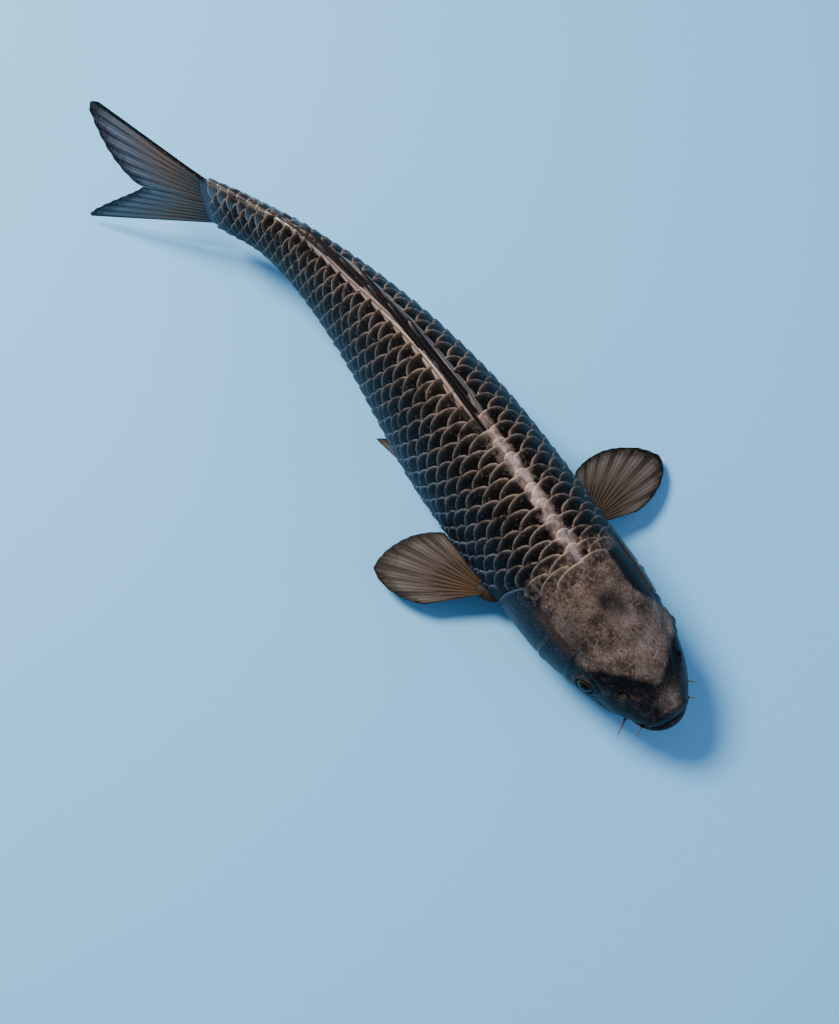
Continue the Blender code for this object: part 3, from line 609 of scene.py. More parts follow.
spots = ((0.140, 0.000, 7, 1.0), (0.122, 0.003, 7, 0.8), (0.099, 0.012, 6, 0.6), (0.091, 0.001, 5, 0.5),
         (0.128, -0.025, 9, 0.9), (0.130, 0.025, 9, 0.9), (0.160, 0.022, 9, 0.7), (0.152, -0.020, 8, 0.4))
spot = sum(weight * hill((stations - u) * LENGTH, 0.001 * width) * hill(across - v, 0.001 * width)
           for u, v, width, weight in spots)
brow_line = hill(np.abs(across) - 0.0325, 0.0012) * (across < 0) * step(0.135, 0.150, stations)
cheek = step(0.026, 0.034, np.abs(across)) * (angles < 200)
reach = np.abs((angles - 90 + 180) % 360 - 180)
faces = grid_faces(len(rows), HEAD_COLUMNS, closed=True)
head_values = {
    "tan": np.clip(np.maximum(tan, 0.95 * nose), 0, 1),
    "spot": np.clip(spot, 0, 1) * (angles < 180),
    "cheek": np.broadcast_to(cheek, tan.shape),
    "amber": brow_line,
    "belly": np.broadcast_to(step(125, 165, reach), tan.shape),
}

# Head skin: thin, slimy skin over bone. Slime gives it a clear gloss, and pigment cells make dark flecks.
head_paint, tree, shader = material("wet_head_skin", Roughness=0.5, Coat_Weight=0.06, Coat_Roughness=0.22,
                                    IOR=1.20)
tan_mask = attribute(tree, "tan")
cloud = noise(tree, 0.014, 3.0, 0.55)
fine = noise(tree, 0.0018, 4.0, 0.65)
worm = noise(tree, 0.0016, 2.0, 0.6, stretch=(1, 2.2, 1))
for pattern, share in ((fine, 0.7), (cloud, 0.9)):
    uneven = maths(tree, "MULTIPLY", maths(tree, "SUBTRACT", pattern, 0.5), share)
    tan_mask = maths(tree, "ADD", tan_mask, uneven, clamp=pattern is cloud)
spotted = maths(tree, "MULTIPLY", attribute(tree, "spot"), 0.75)
tan_mask = maths(tree, "SUBTRACT", tan_mask, spotted, clamp=True)
tan_colour = ramp(tree, cloud, [(0.32, "#3b302b"), (0.47, "#625147"), (0.66, "#84726a")])
dark_flecks = maths(tree, "MULTIPLY", maths(tree, "GREATER_THAN", worm, 0.56), 0.60)
pale_flecks = maths(tree, "MULTIPLY", maths(tree, "GREATER_THAN", fine, 0.58), 0.25)
flecked = mix(tree, dark_flecks, tan_colour, "#1d1714")
flecked = mix(tree, pale_flecks, flecked, "#a8958b")
dark_skin = ramp(tree, cloud, [(0.35, "#050506"), (0.60, "#0f0d0e"), (0.75, "#2b231e")])
dark_skin = mix(tree, maths(tree, "MULTIPLY", attribute(tree, "cheek"), 0.75), dark_skin, "#0d131d")
dark_skin = mix(tree, maths(tree, "MULTIPLY", attribute(tree, "amber"), 0.8), dark_skin, "#8a5a35")
dark_skin = mix(tree, attribute(tree, "belly"), dark_skin, "#4a4f57")
tree.links.new(mix(tree, tan_mask, dark_skin, flecked), shader.inputs["Base Color"])
bump(tree, shader, maths(tree, "ADD", fine, maths(tree, "MULTIPLY", worm, 0.5)), 0.00025, 0.7)

head_skin = piece("skin_head", points, faces, head_paint, head_values, body="head")
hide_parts("head_shell")

# --------------------------------------------------------------------------------------------------------
# Gill covers: a thin bony plate each side, hinged at its front edge, with a soft edge behind that seals
# the gill opening. The plate is faintly ribbed like a fan, and a painted blue-grey highlight lies along its
# rear and lower edges.

GILL_COVER = (0.120, 0.216, -48.0, 34.0)  # first and last station, low and high angle


def plate_faces(rows, columns):
    """Faces of a plate: an outer grid, an inner grid turned over, and a strip round their edges."""
    under = rows * columns
    outer = grid_faces(rows, columns)
    inner = grid_faces(rows, columns, under, flip=True)
    rim = np.concatenate([
        np.arange(columns),
        np.arange(1, rows) * columns + columns - 1,
        (rows - 1) * columns + np.arange(columns - 2, -1, -1),
        np.arange(rows - 2, 0, -1) * columns,
    ])
    ahead_of = np.roll(rim, -1)
    return np.concatenate([outer, inner, np.stack([ahead_of, rim, under + rim, under + ahead_of], -1)])


# Gill cover: bone under a thin, slimy skin. It is steel blue with pale specks, and a painted highlight
# lightens its edges.
gill_paint, tree, shader = material("wet_gill_cover", Roughness=0.42, Coat_Weight=0.03, Coat_Roughness=0.18,
                                    IOR=1.18)
cloud = noise(tree, 0.010, 3.0, 0.55)
steel = ramp(tree, cloud, [(0.30, "#07090d"), (0.55, "#0e141e"), (0.80, "#1c2736")])
upper = mix(tree, attribute(tree, "upper"), steel, "#33281f")
speckle = maths(tree, "MULTIPLY", maths(tree, "GREATER_THAN", noise(tree, 0.0014, 3.0), 0.60), 0.35)
speckled = mix(tree, speckle, upper, "#5c5a60")
# The edge attribute carries a painted blue-grey highlight.
tree.links.new(mix(tree, attribute(tree, "edge"), speckled, "#3d4f66"), shader.inputs["Base Color"])
bump(tree, shader, maths(tree, "ADD", noise(tree, 0.0016), attribute(tree, "ribs")), 0.0003, 0.5)

for side_name in ("left", "right"):
    first, last, low, high = GILL_COVER
    t = np.linspace(0, 1, 70)[:, None]
    k = np.linspace(0, 1, 64)[None, :]
    bow = (2 * k - 1) ** 2
    station = first - 0.004 + (last + 0.0070 - 0.016 * bow - first) * t
    angle = low - 1.0 + (high + 5.0 - low) * k
    swell = 0.0011 * (4 * t * (1 - t)) ** 0.7 * (4 * k * (1 - k)) ** 0.5
    slanted = t - 0.10 * (k - 0.5)
    ridge = 0.0006 * (hill(slanted - 0.30, 0.035) - hill(slanted - 0.36, 0.025))
    buried = 0.0006 * (1 - step(0.0, 0.04, t)) + 0.0006 * step(0.97, 1.0, k)
    outer = 0.0003 + swell + ridge * step(0.05, 0.2, k) * (1 - step(0.8, 0.95, k)) - buried
    thick = 0.0004 + 0.0012 * (1 - t) * (4 * k * (1 - k)) ** 0.3
    angle = angle if side_name == "left" else 180 - angle
    sheets = np.stack([lifted(station, angle, outer), lifted(station, angle, outer - thick)])
    faces = plate_faces(70, 64)
    faces = faces if side_name == "left" else faces[:, ::-1]
    # Where the painted highlight lies: along the rear edge, and along the lower edge behind the front.
    edge = 0.9 * step(0.965, 1.0, t) + 0.55 * (1 - step(0.0, 0.10, k)) * step(0.1, 0.3, t)
    values = {
        "edge": np.clip(edge, 0, 1) + 0 * sheets[..., 0],
        "upper": step(0.80, 0.97, k) * (1 - step(0.5, 0.9, t)) + 0 * sheets[..., 0],
        "ribs": 0.25 * np.sin(60 * k + 6 * t) * step(0.35, 0.6, t) + 0 * sheets[..., 0],
    }
    body = "gill_cover_" + side_name
    cover = piece("gill_plate_" + side_name, sheets, faces, gill_paint, values, body=body)
    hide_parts(body)

# --------------------------------------------------------------------------------------------------------
# Eyes: a glassy ball each side, with a black pupil, a dark gold iris and a nearly black surround. Each
# turns in its socket, under a rim of head skin.

EYE_RADIUS = 0.0068

# Eye: a clear, wet, domed cornea over the iris. It takes a small, sharp highlight.
eye_paint, tree, shader = material("glassy_eye", Roughness=0.15, Coat_Weight=0.12, Coat_Roughness=0.02,
                                   IOR=1.15)
rings = [(0.10, "#020203"), (0.185, "#020203"), (0.20, "#44381f")]
rings += [(0.24, "#1d1811"), (0.30, "#0b0a0a"), (0.42, "#050607")]
iris = ramp(tree, attribute(tree, "ring"), rings)
veins = maths(tree, "MULTIPLY", noise(tree, 0.0008), 0.5)
tree.links.new(mix(tree, veins, iris, "#050505"), shader.inputs["Base Color"])
for side_name, mirrored in (("left", EYE_ANGLE), ("right", 180 - EYE_ANGLE)):
    centre = lifted(np.array(EYE_STATION), np.array(mirrored), np.array(-0.0047))
    outward = lifted(np.array(EYE_STATION), np.array(mirrored), np.array(0.01)) - centre
    outward /= np.linalg.norm(outward)
    forward, _ = ways(EYE_STATION)
    over = np.cross(outward, forward)
    over /= np.linalg.norm(over)
    along = np.cross(over, outward)
    polar = np.linspace(0, math.pi, 48)[:, None]
    turn = np.linspace(0, 2 * math.pi, 65)[None, :-1]
    bulge = EYE_RADIUS * (1 + 0.05 * hill(polar, 0.35))
    ball = centre + bulge[..., None] * (
        np.cos(polar)[..., None] * outward
        + (np.sin(polar) * np.cos(turn))[..., None] * along
        + (np.sin(polar) * np.sin(turn))[..., None] * over
    )
    eye = piece("eyeball_" + side_name, ball, grid_faces(48, 64, closed=True), eye_paint,
                {"ring": polar / math.pi + 0 * turn}, body="eye_" + side_name)
    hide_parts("eye_" + side_name)

# --------------------------------------------------------------------------------------------------------
# Mouth: a soft lip round the front of the snout, which slides forward as the bony lower jaw drops, and two
# feelers on each side that hang from the lip's corners.

# Lip: soft, thick, wet skin. It is nearly black, with tan patches and a soft shine.
lip_paint, tree, shader = material("wet_lip", Roughness=0.42, Coat_Weight=0.1, Coat_Roughness=0.12, IOR=1.25)
lip_cloud = noise(tree, 0.004, 3.0)
lip_colour = ramp(tree, lip_cloud, [(0.35, "#0e0f13"), (0.55, "#241e1b"), (0.75, "#57493f")])
tree.links.new(lip_colour, shader.inputs["Base Color"])
bump(tree, shader, noise(tree, 0.0012), 0.0002, 0.6)


def swept(path, radii, sides, flat=1.0):
    """A round tube along a path: rings of points at right angles to it, whose ends close to a point."""
    way = np.gradient(path, axis=0)
    way /= np.linalg.norm(way, axis=1, keepdims=True)
    across = np.cross(way, [0, 0, 1.0])
    across /= np.linalg.norm(across, axis=1, keepdims=True)
    over = np.cross(across, way)
    turn = np.arange(sides) * 2 * math.pi / sides
    c, s = np.cos(turn)[None, :, None], np.sin(turn)[None, :, None]
    spread = c * across[:, None] + flat * s * over[:, None]
    return path[:, None] + spread * np.asarray(radii)[:, None, None]


sweep = np.radians(np.linspace(-88, 88, 90))
station = 0.034 - 0.0345 * np.cos(sweep)
path = place(station, 0.0168 * np.sin(sweep), mouth_height(station) + 0.0030)
ends = np.sqrt(np.clip(1 - (np.abs(sweep) / sweep[-1]) ** 14, 0, 1))
radii = (0.0026 - 0.0012 * np.abs(np.sin(sweep)) ** 3) * ends
ring = swept(path, radii, 24, 1.15)
faces = grid_faces(90, 24, closed=True, flip=True)
lip = piece("lip", ring, faces, lip_paint, body="upper_lip")
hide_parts("upper_lip")

chin_rows = 0.012 - 0.0105 * np.cos(np.linspace(0, math.pi / 2, 16))[:-1]
rows = np.concatenate([chin_rows, np.linspace(0.012, JAW_HINGE - 0.002, 50)])
share = np.linspace(0, 1, 180, endpoint=False)[None, :]
stations = rows[:, None]
close = np.sqrt(np.clip(1 - ((0.012 - np.minimum(stations, 0.012)) / 0.0105) ** 2, 0, 1))
half, _, belly, widest = section(np.maximum(stations, 0.012))
top = mouth_height(stations) - 0.0004
brim = -np.degrees(np.arcsin(((widest - top) / (widest - belly)) ** (1 / 0.86)))
under = 2 * np.clip(share, 0, 0.5)
over = 2 * np.clip(share - 0.5, 0, 0.5)
angle = brim - (180 + 2 * brim) * under
across, height = outline(np.maximum(stations, 0.012), angle)
width = outline(np.maximum(stations, 0.012), brim)[0]
scoop = step(0.014, 0.026, stations) * (1 - step(0.060, 0.074, stations))
scoop = 0.0040 * np.sin(math.pi * over) ** 2 * scoop
across = np.where(share > 0.5, width * (2 * over - 1), across)
height = np.where(share > 0.5, top - scoop, height)
slope = math.tan(math.radians(29)) * step(0.02, 0.08, stations) ** 2
back_off = stations - np.maximum(top - height, 0) * slope / LENGTH
jaw_points = place(back_off, across * 0.86 * close, top + (height - top) * np.maximum(close, 0.2))
jaw_points[0] = jaw_points[0].mean(axis=0)
cap = np.tile(jaw_points[-1].mean(axis=0), (1, 180, 1))
jaw_points = np.concatenate([jaw_points, cap])
jaw_values = {"tan": 0.0, "spot": 0.0, "amber": 0.0, "cheek": 0.4, "belly": 0.75 * (share < 0.5)}
faces = grid_faces(len(rows) + 1, 180, closed=True, flip=True)
jaw = piece("jaw", jaw_points, faces, head_paint, jaw_values, body="lower_jaw")
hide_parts("lower_jaw")

# Feeler: wet, bendy skin over a core of gristle. It is a warm grey-brown, and it shines.
feeler_paint, tree, shader = material("wet_feeler", Roughness=0.4, Coat_Weight=0.2)
feeler_colour = ramp(tree, noise(tree, 0.003), [(0.35, "#3a2f2a"), (0.65, "#7c6553")])
tree.links.new(feeler_colour, shader.inputs["Base Color"])
# name, station, place to the side, height above the mouth line and length
FEELERS = (("front", 0.012, 0.0160, 0.0045, 0.007), ("rear", 0.030, 0.0204, 0.0020, 0.013))
for place_name, station, across, rise, length in FEELERS:
    for side_name, sign in (("left", 1), ("right", -1)):
        forward, left = ways(station)
        root = place(station, sign * across, mouth_height(station) + rise)
        way = forward * 0.45 + left * sign * 0.7 + np.array([0, 0, -0.55])
        way /= np.linalg.norm(way)
        t = np.linspace(0, 1, 30)
        droop = np.array([0, 0, -1.0]) * (t * t)[:, None] * length * 0.10
        path = root + way * length * (t - 0.06)[:, None] + droop
        radii = 0.0008 * (1 - 0.85 * t) * np.sqrt(np.clip(1 - t**12, 0, 1)) + 0.0003 * hill(t, 0.15)
        ends = f"{place_name}_{side_name}"
        faces = grid_faces(30, 12, closed=True, flip=True)
        tube = swept(path, radii, 12)
        feeler = piece("feeler_" + ends, tube, faces, feeler_paint, body="barbel_" + ends)
        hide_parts("barbel_" + ends)

# --------------------------------------------------------------------------------------------------------
# Pectoral fins: fans of bony rays in a thin web of wet skin, golden brown at the root and grey beyond,
# with a dark edge. Each has a fleshy root that turns in the shoulder, and four blades that slide over one
# another.

PECTORAL_STATION, PECTORAL_HEIGHT = 0.238, 0.0200
PECTORAL_DROOP = 10.0  # degrees below level
PECTORAL_REST = {"left": (104.0, 86.0, 68.0, 50.0), "right": (62.0, 48.0, 34.0, 20.0)}  # from rearward
BLADE_SPREAD = 18.0
PECTORAL_LONGEST = 0.0720
PECTORAL_TIP = 0.33  # the longest ray's place in the fan
PECTORAL_TIP_WAY = {"left": 80.0, "right": 40.0}  # that ray's way, in degrees from rearward
PECTORAL_FAN, PECTORAL_AHEAD = 76.0, 25.0  # the whole fan, and its part ahead of the longest ray
ROOT_OUT, ROOT_IN, ROOT_WIDE, ROOT_THICK = 0.0110, 0.0060, 0.0052, 0.0018


def fin_surface(roots, ways_out, lengths, normal, rays, thick, ray_height, rows=60, ragged=0.006, bands=2):
    """Both faces of a fin: point = root + way * length * t, moved along the normal by the web's half
    thickness and by each ray's ridge, cos^6 of its distance from the ray, which forks in two beyond the
    middle."""
    f = np.linspace(0, 1, len(roots))[None, :]
    t = np.linspace(0, 1, rows)[:, None]
    single = np.cos(math.pi * (f * rays - 0.5)) ** 2
    double = np.cos(2 * math.pi * (f * rays - 0.25)) ** 2
    split = step(0.42, 0.62, t)
    ridge = single**3 * (1 - split) + double**3 * (0.25 + 0.75 * single) * split
    reach = t * (1 - ragged * (1 - single) * step(0.88, 1, t))
    middle = roots[None] + ways_out[None] * (lengths[None, :, None] * reach[..., None])
    half = thick * (1 - 0.75 * t) / 2 + ray_height * ridge * (1 - 0.6 * t)
    edge = np.minimum(np.minimum(f, 1 - f) * 8, (1 - t) * 6)
    half = half * np.clip(0.25 + edge, 0, 1)
    sheets = np.stack([middle + normal * half[..., None], middle - normal * half[..., None]])
    band = (0.5 + 0.5 * np.cos(2 * math.pi * f * bands)) ** 2 * step(0.25, 0.90, t)
    values = {"ray": ridge, "reach": t, "lead": f, "band": band}
    return sheets, {key: value + 0 * sheets[..., 0] for key, value in values.items()}


def fin_paint(name, root_colour, mid_colour, tip_colour, ray_colour, glow, lead=2.0):
    """Fin skin: thin and wet, with a little light through it. Its colour runs from the root to the tip,
    and dark pigment lies along the rays, in broad bands beyond the middle, and along the edge ahead past
    the share lead."""
    paint, tree, shader = material(
        name,
        Roughness=0.5,
        IOR=1.20,
        Subsurface_Weight=0.08,
        Subsurface_Radius=(0.004, 0.002, 0.001),
    )
    streak = maths(tree, "MULTIPLY", maths(tree, "SUBTRACT", noise(tree, 0.0035, 3.0, 0.6), 0.5), 0.22)
    along = maths(tree, "ADD", attribute(tree, "reach"), streak)
    web = ramp(tree, along, [(0.08, root_colour), (0.40, mid_colour), (0.82, tip_colour),
                             (0.99, ray_colour)])
    ray = maths(tree, "MULTIPLY", attribute(tree, "ray"), 0.88)
    dark = mix(tree, ray, web, ray_colour)
    dark = mix(tree, maths(tree, "MULTIPLY", attribute(tree, "band"), 0.80), dark, ray_colour)
    limits = {"Value": attribute(tree, "lead"), "From Min": lead - 0.05, "From Max": lead}
    dark = mix(tree, node(tree, "MapRange", limits).outputs[0], dark, "#070708")
    fleck = maths(tree, "MULTIPLY", maths(tree, "GREATER_THAN", noise(tree, 0.0012, 2.0), 0.62), glow)
    tree.links.new(mix(tree, fleck, dark, mid_colour), shader.inputs["Base Color"])
    bump(tree, shader, maths(tree, "ADD", noise(tree, 0.0009), ray), 0.00015, 0.5)
    return paint


pectoral_paint = fin_paint("pectoral_web", "#56432f", "#463b34", "#5e5855", "#0f0c0a", 0.30)

for side_name, sign in (("left", 1), ("right", -1)):
    search = np.arange(0, -90, -1.0)
    low = search[np.argmax(outline(PECTORAL_STATION, search)[1] <= PECTORAL_HEIGHT)]
    across, height = outline(PECTORAL_STATION, low)
    centre = place(PECTORAL_STATION, sign * (across + 0.0012), height)
    forward, left = ways(PECTORAL_STATION)
    droop = math.radians(PECTORAL_DROOP)
    out = sign * left * math.cos(droop) - np.array([0, 0, math.sin(droop)])
    up = sign * left * math.sin(droop) + np.array([0, 0, math.cos(droop)])
    rest = PECTORAL_REST[side_name]
    for number in range(4):
        turn = rest[number] + 0.6 * (number == 0) - (BLADE_SPREAD + 1.2) * np.linspace(0, 1, 41)
        share = np.clip((PECTORAL_TIP_WAY[side_name] + PECTORAL_AHEAD - turn) / PECTORAL_FAN, 0, 1)
        before = np.clip((PECTORAL_TIP - share) / PECTORAL_TIP, 0, 1)
        after = np.clip((share - PECTORAL_TIP) / (1 - PECTORAL_TIP), 0, 1)
        lengths = PECTORAL_LONGEST * (1 - 0.52 * before**1.45 - 0.50 * after**1.3)
        heading = np.radians(turn)[:, None]
        way = -forward * np.cos(heading) + out * np.sin(heading)
        roots = centre + up * (0.0012 - 0.0008 * number) + way * 0.0050
        sheets, values = fin_surface(roots, way, lengths - 0.0050, up, 4, 0.0009, 0.00035)
        faces = plate_faces(60, 41)
        faces = faces if sign < 0 else faces[:, ::-1]
        name = f"pectoral_{side_name}_{number + 1}"
        blade = f"pectoral_blade_{side_name}_{number + 1}"
        web = piece(name, sheets, faces, pectoral_paint, values, body=blade)
        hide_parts(blade)
    polar = np.linspace(0, math.pi, 30)[:, None]
    turn = np.linspace(0, 2 * math.pi, 49)[None, :-1]
    middle_way = math.radians((rest[0] + rest[-1] - BLADE_SPREAD) / 2)
    axis = -forward * math.cos(middle_way) + out * math.sin(middle_way)
    wide = np.cross(up, axis)
    lobe = centre + (
        (np.cos(polar) * np.where(polar < math.pi / 2, ROOT_OUT, ROOT_IN))[..., None] * axis
        + (np.sin(polar) * np.cos(turn) * ROOT_WIDE)[..., None] * wide
        + (np.sin(polar) * np.sin(turn) * ROOT_THICK)[..., None] * up
    )
    values = {"ray": 0.90, "reach": 0.40, "lead": 0.5, "band": 0.0}
    faces = grid_faces(30, 48, closed=True)
    body = "pectoral_root_" + side_name
    name = "pectoral_base_" + side_name
    fleshy = piece(name, lobe, faces, pectoral_paint, values, body=body)
    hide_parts(body)

# --------------------------------------------------------------------------------------------------------
# Pelvic fins: two small fans under the belly, of the same skin and rays as the pectoral fins, laid back
# just above the floor. Each grows from the belly's edge and spreads sideways.

PELVIC_STATION, PELVIC_ACROSS, PELVIC_HEIGHT = 0.400, 0.0232, 0.0030
PELVIC_LONGEST = 0.044
for side_name, sign in (("left", 1), ("right", -1)):
    start = place(PELVIC_STATION, sign * PELVIC_ACROSS, PELVIC_HEIGHT)
    forward, left = ways(PELVIC_STATION)
    share = np.linspace(0, 1, 49)
    turn = np.radians(10 - 8 * share)[:, None]
    way = -forward * np.cos(turn) + sign * left * np.sin(turn) - np.array([0, 0, 0.030])
    roots = start - forward * 0.010 * share[:, None]
    lengths = (PELVIC_LONGEST - 0.016 * share) * (1 - 0.25 * step(0.75, 1.0, share) ** 2)
    sheets, values = fin_surface(roots, way, lengths, np.array([0, 0, 1.0]), 8, 0.0012, 0.0003)
    sheets[..., 2] = np.maximum(sheets[..., 2], FLOOR_GAP)
    faces = plate_faces(60, 49)
    faces = faces if sign < 0 else faces[:, ::-1]
    body = "pelvic_fin_" + side_name
    pelvic = piece("pelvic_" + side_name, sheets, faces, pectoral_paint, values, body=body)
    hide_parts(body)

# --------------------------------------------------------------------------------------------------------
# Tail fin: an upper and a lower lobe of stiff rays in a web that is brown in the middle and grey beyond,
# with dark bands, a black edge ahead and a black tip. The lobes grow from the end of the stalk and spread
# apart.

TAIL_ROOT_END = 0.838
TAIL_FAN = {"upper": 24.0, "lower": 14.0}  # degrees from the middle ray to the outer one
TAIL_SWEEP = {"upper": (-10.0, 5.0), "lower": (-10.0, -12.0)}  # to the left, at the middle and outer rays
TAIL_SHORTEST, TAIL_LONGEST = 0.044, {"upper": 0.082, "lower": 0.096}
TAIL_FORK = {"upper": 0.78, "lower": 1.3}  # how late the rays lengthen from the fork to the tip
TAIL_ROUND = {"upper": 0.11, "lower": 0.05}  # how much the tip is rounded off
TAIL_STRETCH = {"upper": 1.02, "lower": 1.0}
tail_paint = fin_paint("tail_web", "#4f4948", "#86644c", "#7f7e86", "#0c0a0c", 0.35, lead=0.965)

for lobe_name, sign in (("upper", 1), ("lower", -1)):
    forward, left = ways(0.86)
    _, back, belly, _ = section(TAIL_ROOT_END)
    reach = (back - belly) / 2 - 0.0005
    start = place(TAIL_ROOT_END, 0.0, (back + belly) / 2) - forward * 0.0008
    share = np.linspace(0, 1, 97)
    turn = np.radians(0.2 + (TAIL_FAN[lobe_name] - 0.2) * share)[:, None]
    inner, outer = TAIL_SWEEP[lobe_name]
    sweep = np.radians(inner + (outer - inner) * share)[:, None]
    level = -forward * np.cos(sweep) + left * np.sin(sweep)
    way = level * np.cos(turn) + np.array([0, 0, sign]) * np.sin(turn)
    rise = (0.0001 + (reach - 0.0001) * share) * sign
    tuck = 0.009 * (1 - 0.5 * share**2)
    roots = start + rise[:, None] * np.array([0, 0, 1.0]) - way * tuck[:, None]
    longer = (TAIL_LONGEST[lobe_name] - TAIL_SHORTEST) * share ** TAIL_FORK[lobe_name]
    lengths = (TAIL_SHORTEST + longer + tuck) * TAIL_STRETCH[lobe_name]
    lengths *= 1 - TAIL_ROUND[lobe_name] * np.clip((share - 0.80) / 0.20, 0, 1) ** 2.5
    sheets, values = fin_surface(roots, way, lengths, left, 8, 0.0024, 0.0006, rows=110, ragged=0.010,
                                 bands=6)
    faces = plate_faces(110, 97)
    faces = faces if sign > 0 else faces[:, ::-1]
    body = "tail_lobe_" + lobe_name
    web = piece("tail_web_" + lobe_name, sheets, faces, tail_paint, values, body=body)
    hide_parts(body)

# --------------------------------------------------------------------------------------------------------
# Anal fin: one short fan under the stalk, of the same skin and rays as the tail fin. It grows from the
# belly line and leans back.

ANAL_START, ANAL_LONG, ANAL_RAYS = 0.672, 0.044, 7
share = np.linspace(0, 1, 57)
roots = body_point(ANAL_START + ANAL_LONG * share, np.full(57, 270.0)) + np.array([0, 0, 0.0006])
forward, left = ways(ANAL_START + ANAL_LONG / 2)
fall = np.radians(30 - 8 * share)[:, None]
way = -forward * np.cos(fall) - np.array([0, 0, 1.0]) * np.sin(fall)
lengths = (0.038 - 0.012 * share) * (1 - 0.2 * step(0.8, 1, share))
sheets, values = fin_surface(roots, way, lengths, left, ANAL_RAYS, 0.0016, 0.0004)
anal = piece("anal_web", sheets, plate_faces(60, 57), tail_paint, values, body="anal_fin")
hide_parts("anal_fin")

# --------------------------------------------------------------------------------------------------------
# Dorsal sheath: two long folds of bare, wet skin beside the back fin's root, painted pinkish on the right
# as warm light and grey on the left as cool shade. They grow out of the back, and the folded fin lies in
# the cleft between them, which is painted black as shade.

SHEATH_START, SHEATH_END, SHEATH_HALF = 0.338, 0.730, 0.0072
# Sheath: scaleless skin that stands out of the water. It is the glossiest skin, with painted shade in the
# furrows along it and in the cleft.
sheath_paint, tree, shader = material("wet_sheath_skin", Roughness=0.36, Coat_Weight=0.3,
                                      Coat_Roughness=0.15)
# Painted light: pinkish on the right as the warm lit side, grey on the left as the cool shaded side.
limits = {"Value": attribute(tree, "lateral"), "From Min": -0.8, "From Max": 0.8}
warm_lit_and_cool_shaded_tint = mix(tree, node(tree, "MapRange", limits).outputs[0], "#8c7467", "#4c4a4e")
# Painted shade in the furrows and in the cleft where the fin lies.
furrow_and_cleft_shade = maths(tree, "MULTIPLY", attribute(tree, "groove"), 0.9, clamp=True)
tree.links.new(mix(tree, furrow_and_cleft_shade, warm_lit_and_cool_shaded_tint, "#161314"), shader.inputs["Base Color"])
bump(tree, shader, noise(tree, 0.0014), 0.0002, 0.6)

for zone in ZONES:
    first, last = max(zone[1], SHEATH_START), min(zone[2], SHEATH_END)
    if last - first < 0.01:
        continue
    station = np.linspace(first, last, 80)[:, None]
    k = np.linspace(-1, 1, 49)[None, :]
    open_out = step(SHEATH_START, 0.400, station) * (1 - 0.75 * step(0.600, SHEATH_END, station))
    half = 0.0008 + (SHEATH_HALF - 0.0008) * open_out
    groove = 0.5 + 0.5 * np.cos(2 * math.pi * (3.5 * k + 0.5 * np.sin(24 * station)))
    cleft = hill(k - 0.05, 0.17)
    fold_height = 0.0019 * (1 - k**2) + 0.0004 * (groove - 0.5) * (1 - k**2) - 0.0022 * cleft
    height = fold_height * (0.3 + 0.7 * open_out) + 0.0009 * (1 - k**8) - 0.0008
    points = lifted(station, angle_at(station, half * k), height)
    # Painted shade: darkest in the cleft, and in the furrows between the folds' ridges.
    dark = np.clip((1 - groove) ** 2 * (1 - k**4) + 1.2 * cleft, 0, 1)
    values = {"lateral": k + 0 * station, "groove": dark}
    faces = grid_faces(80, 49, flip=True)
    fold = piece("sheath_" + zone[0], points, faces, sheath_paint, values)
    bend(fold, zone)

# --------------------------------------------------------------------------------------------------------
# Back fin: one stout spine and thirteen soft rays, hinged in the back and folded down. Each carries its
# own strip of thin, nearly black web, whose ray is a paler rib, and the strips close up as the fin is
# raised.

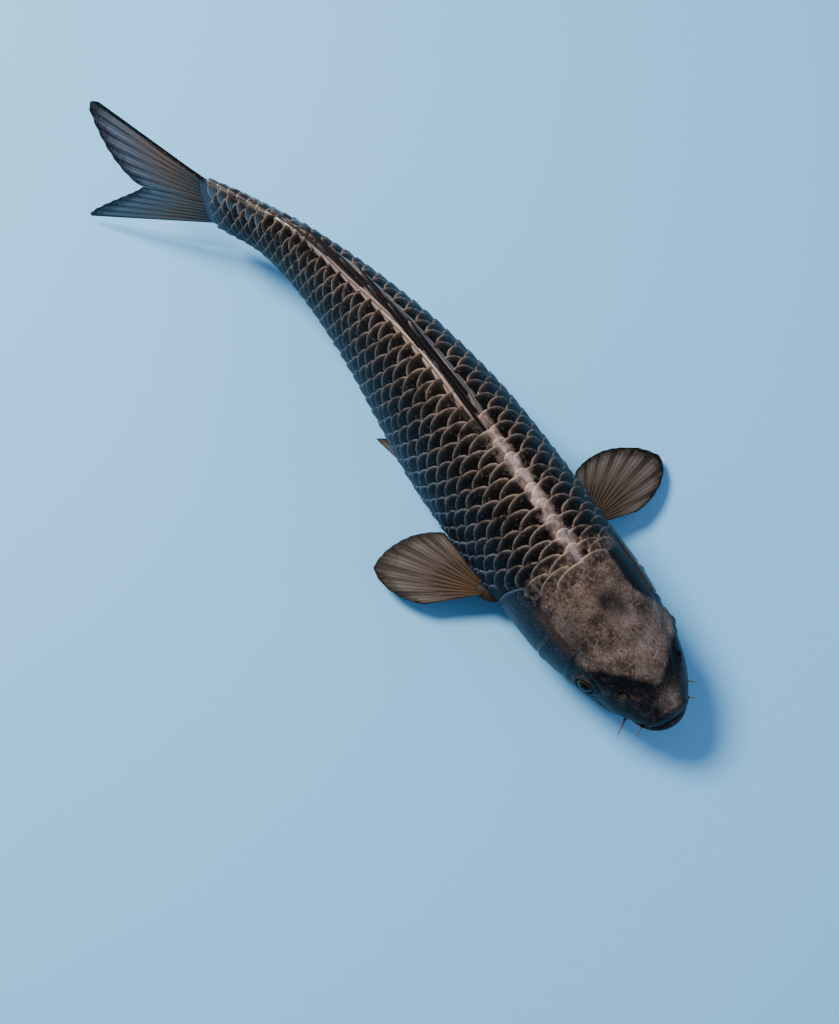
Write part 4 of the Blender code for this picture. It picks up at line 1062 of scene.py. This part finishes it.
DORSAL_RAYS = 14
DORSAL_START, DORSAL_END = 0.352, 0.642
DORSAL_FOLD, DORSAL_RAISE = 12.0, 48.0  # degrees above the back, and how much more when raised
DORSAL_LEAN = 16.0
SPINE_LONG, FIRST_RAY_LONG, RAY_SHORTENS = 0.046, 0.062, 0.026
dorsal_paint = fin_paint("dorsal_web", "#0b0a0a", "#0d0b0c", "#121012", "#5f5550", 0.05)
pitch = (DORSAL_END - DORSAL_START) * LENGTH / (DORSAL_RAYS - 1)
fold = math.radians(DORSAL_FOLD)
opened = fold + math.radians(DORSAL_RAISE)
for i in range(DORSAL_RAYS):
    station = DORSAL_START + (DORSAL_END - DORSAL_START) * i / (DORSAL_RAYS - 1)
    ridge = body_point(np.array([station - 0.01, station, station + 0.01]), np.full(3, 90.0))
    back_way = (ridge[2] - ridge[0]) / np.linalg.norm(ridge[2] - ridge[0])
    _, left = ways(station)
    lean = math.radians(-DORSAL_LEAN)
    hinge = left * math.cos(lean) + np.cross(back_way, left) * math.sin(lean)
    rise = np.cross(hinge, back_way)
    foot = ridge[1] + rise * 0.0018 + hinge * 0.0010 * (i * 2 % 5 - 2)
    way = back_way * math.cos(fold) + rise * math.sin(fold)
    below = back_way * math.sin(fold) - rise * math.cos(fold)
    length = SPINE_LONG if i == 0 else FIRST_RAY_LONG - RAY_SHORTENS * (i / (DORSAL_RAYS - 1)) ** 0.9
    web_depth = pitch * math.sin(opened) * (1.0 if i < DORSAL_RAYS - 1 else 0.35)
    web_back = pitch * math.cos(opened)
    down = np.linspace(0, 1, 22)[None, :]
    t = np.linspace(0, 1, 60)[:, None]
    along = t * (length - 0.016 * down * (1 - down) - 0.0015 * down) + web_back * down * (1 - 0.4 * t)
    middle = foot + along[..., None] * way + (down * web_depth * (1.05 - 0.05 * t))[..., None] * below
    rod = 0.00095 * np.sqrt(np.clip(1 - ((down - 0.10) / 0.10) ** 2, 0, 1)) * (1 - 0.6 * t)
    half = 0.00011 + rod + 0.00009 * np.sin(math.pi * down * 3) ** 2 * (1 - t)
    sheets = np.stack([middle + hinge * half[..., None], middle - hinge * half[..., None]])
    rib = np.maximum(hill(down - 0.10, 0.035), 0.5 * hill(down - 0.55, 0.05))
    values = {"ray": rib, "reach": 0.95 * t, "lead": down, "band": np.zeros((1, 1))}
    body = "dorsal_spine" if i == 0 else f"dorsal_ray_{i:02d}"
    web = piece(body + "_web", sheets, plate_faces(60, 22), dorsal_paint, values, body=body)
    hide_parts(body)

# --------------------------------------------------------------------------------------------------------
# Inside: the backbone, the swim bladder and the gills keep their worked shapes, and take the finish of
# bone, a silvery membrane and blood-red gill.

bone_paint, tree, shader = material("dry_bone", Roughness=0.55)
bone_colour = ramp(tree, noise(tree, 0.003), [(0.3, "#c9bda2"), (0.7, "#e6dcc6")])
tree.links.new(bone_colour, shader.inputs["Base Color"])
bump(tree, shader, noise(tree, 0.0008), 0.0002, 0.5)
bladder_paint, tree, shader = material("silvery_membrane", Roughness=0.28, Coat_Weight=0.4)
bladder_colour = ramp(tree, noise(tree, 0.006), [(0.3, "#c4bfb8"), (0.7, "#e9e6e0")])
tree.links.new(bladder_colour, shader.inputs["Base Color"])
gill_red, tree, shader = material("wet_gill", Roughness=0.35, Coat_Weight=0.6)
gill_colour = ramp(tree, noise(tree, 0.0012), [(0.3, "#5a0d0b"), (0.7, "#a32a22")])
tree.links.new(gill_colour, shader.inputs["Base Color"])
bump(tree, shader, noise(tree, 0.0008), 0.0004, 0.8)
for name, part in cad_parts.items():
    for start, paint in (("backbone", bone_paint), ("swim_bladder", bladder_paint), ("gills", gill_red)):
        if name.startswith(start):
            for slot in part.material_slots:
                slot.material = paint
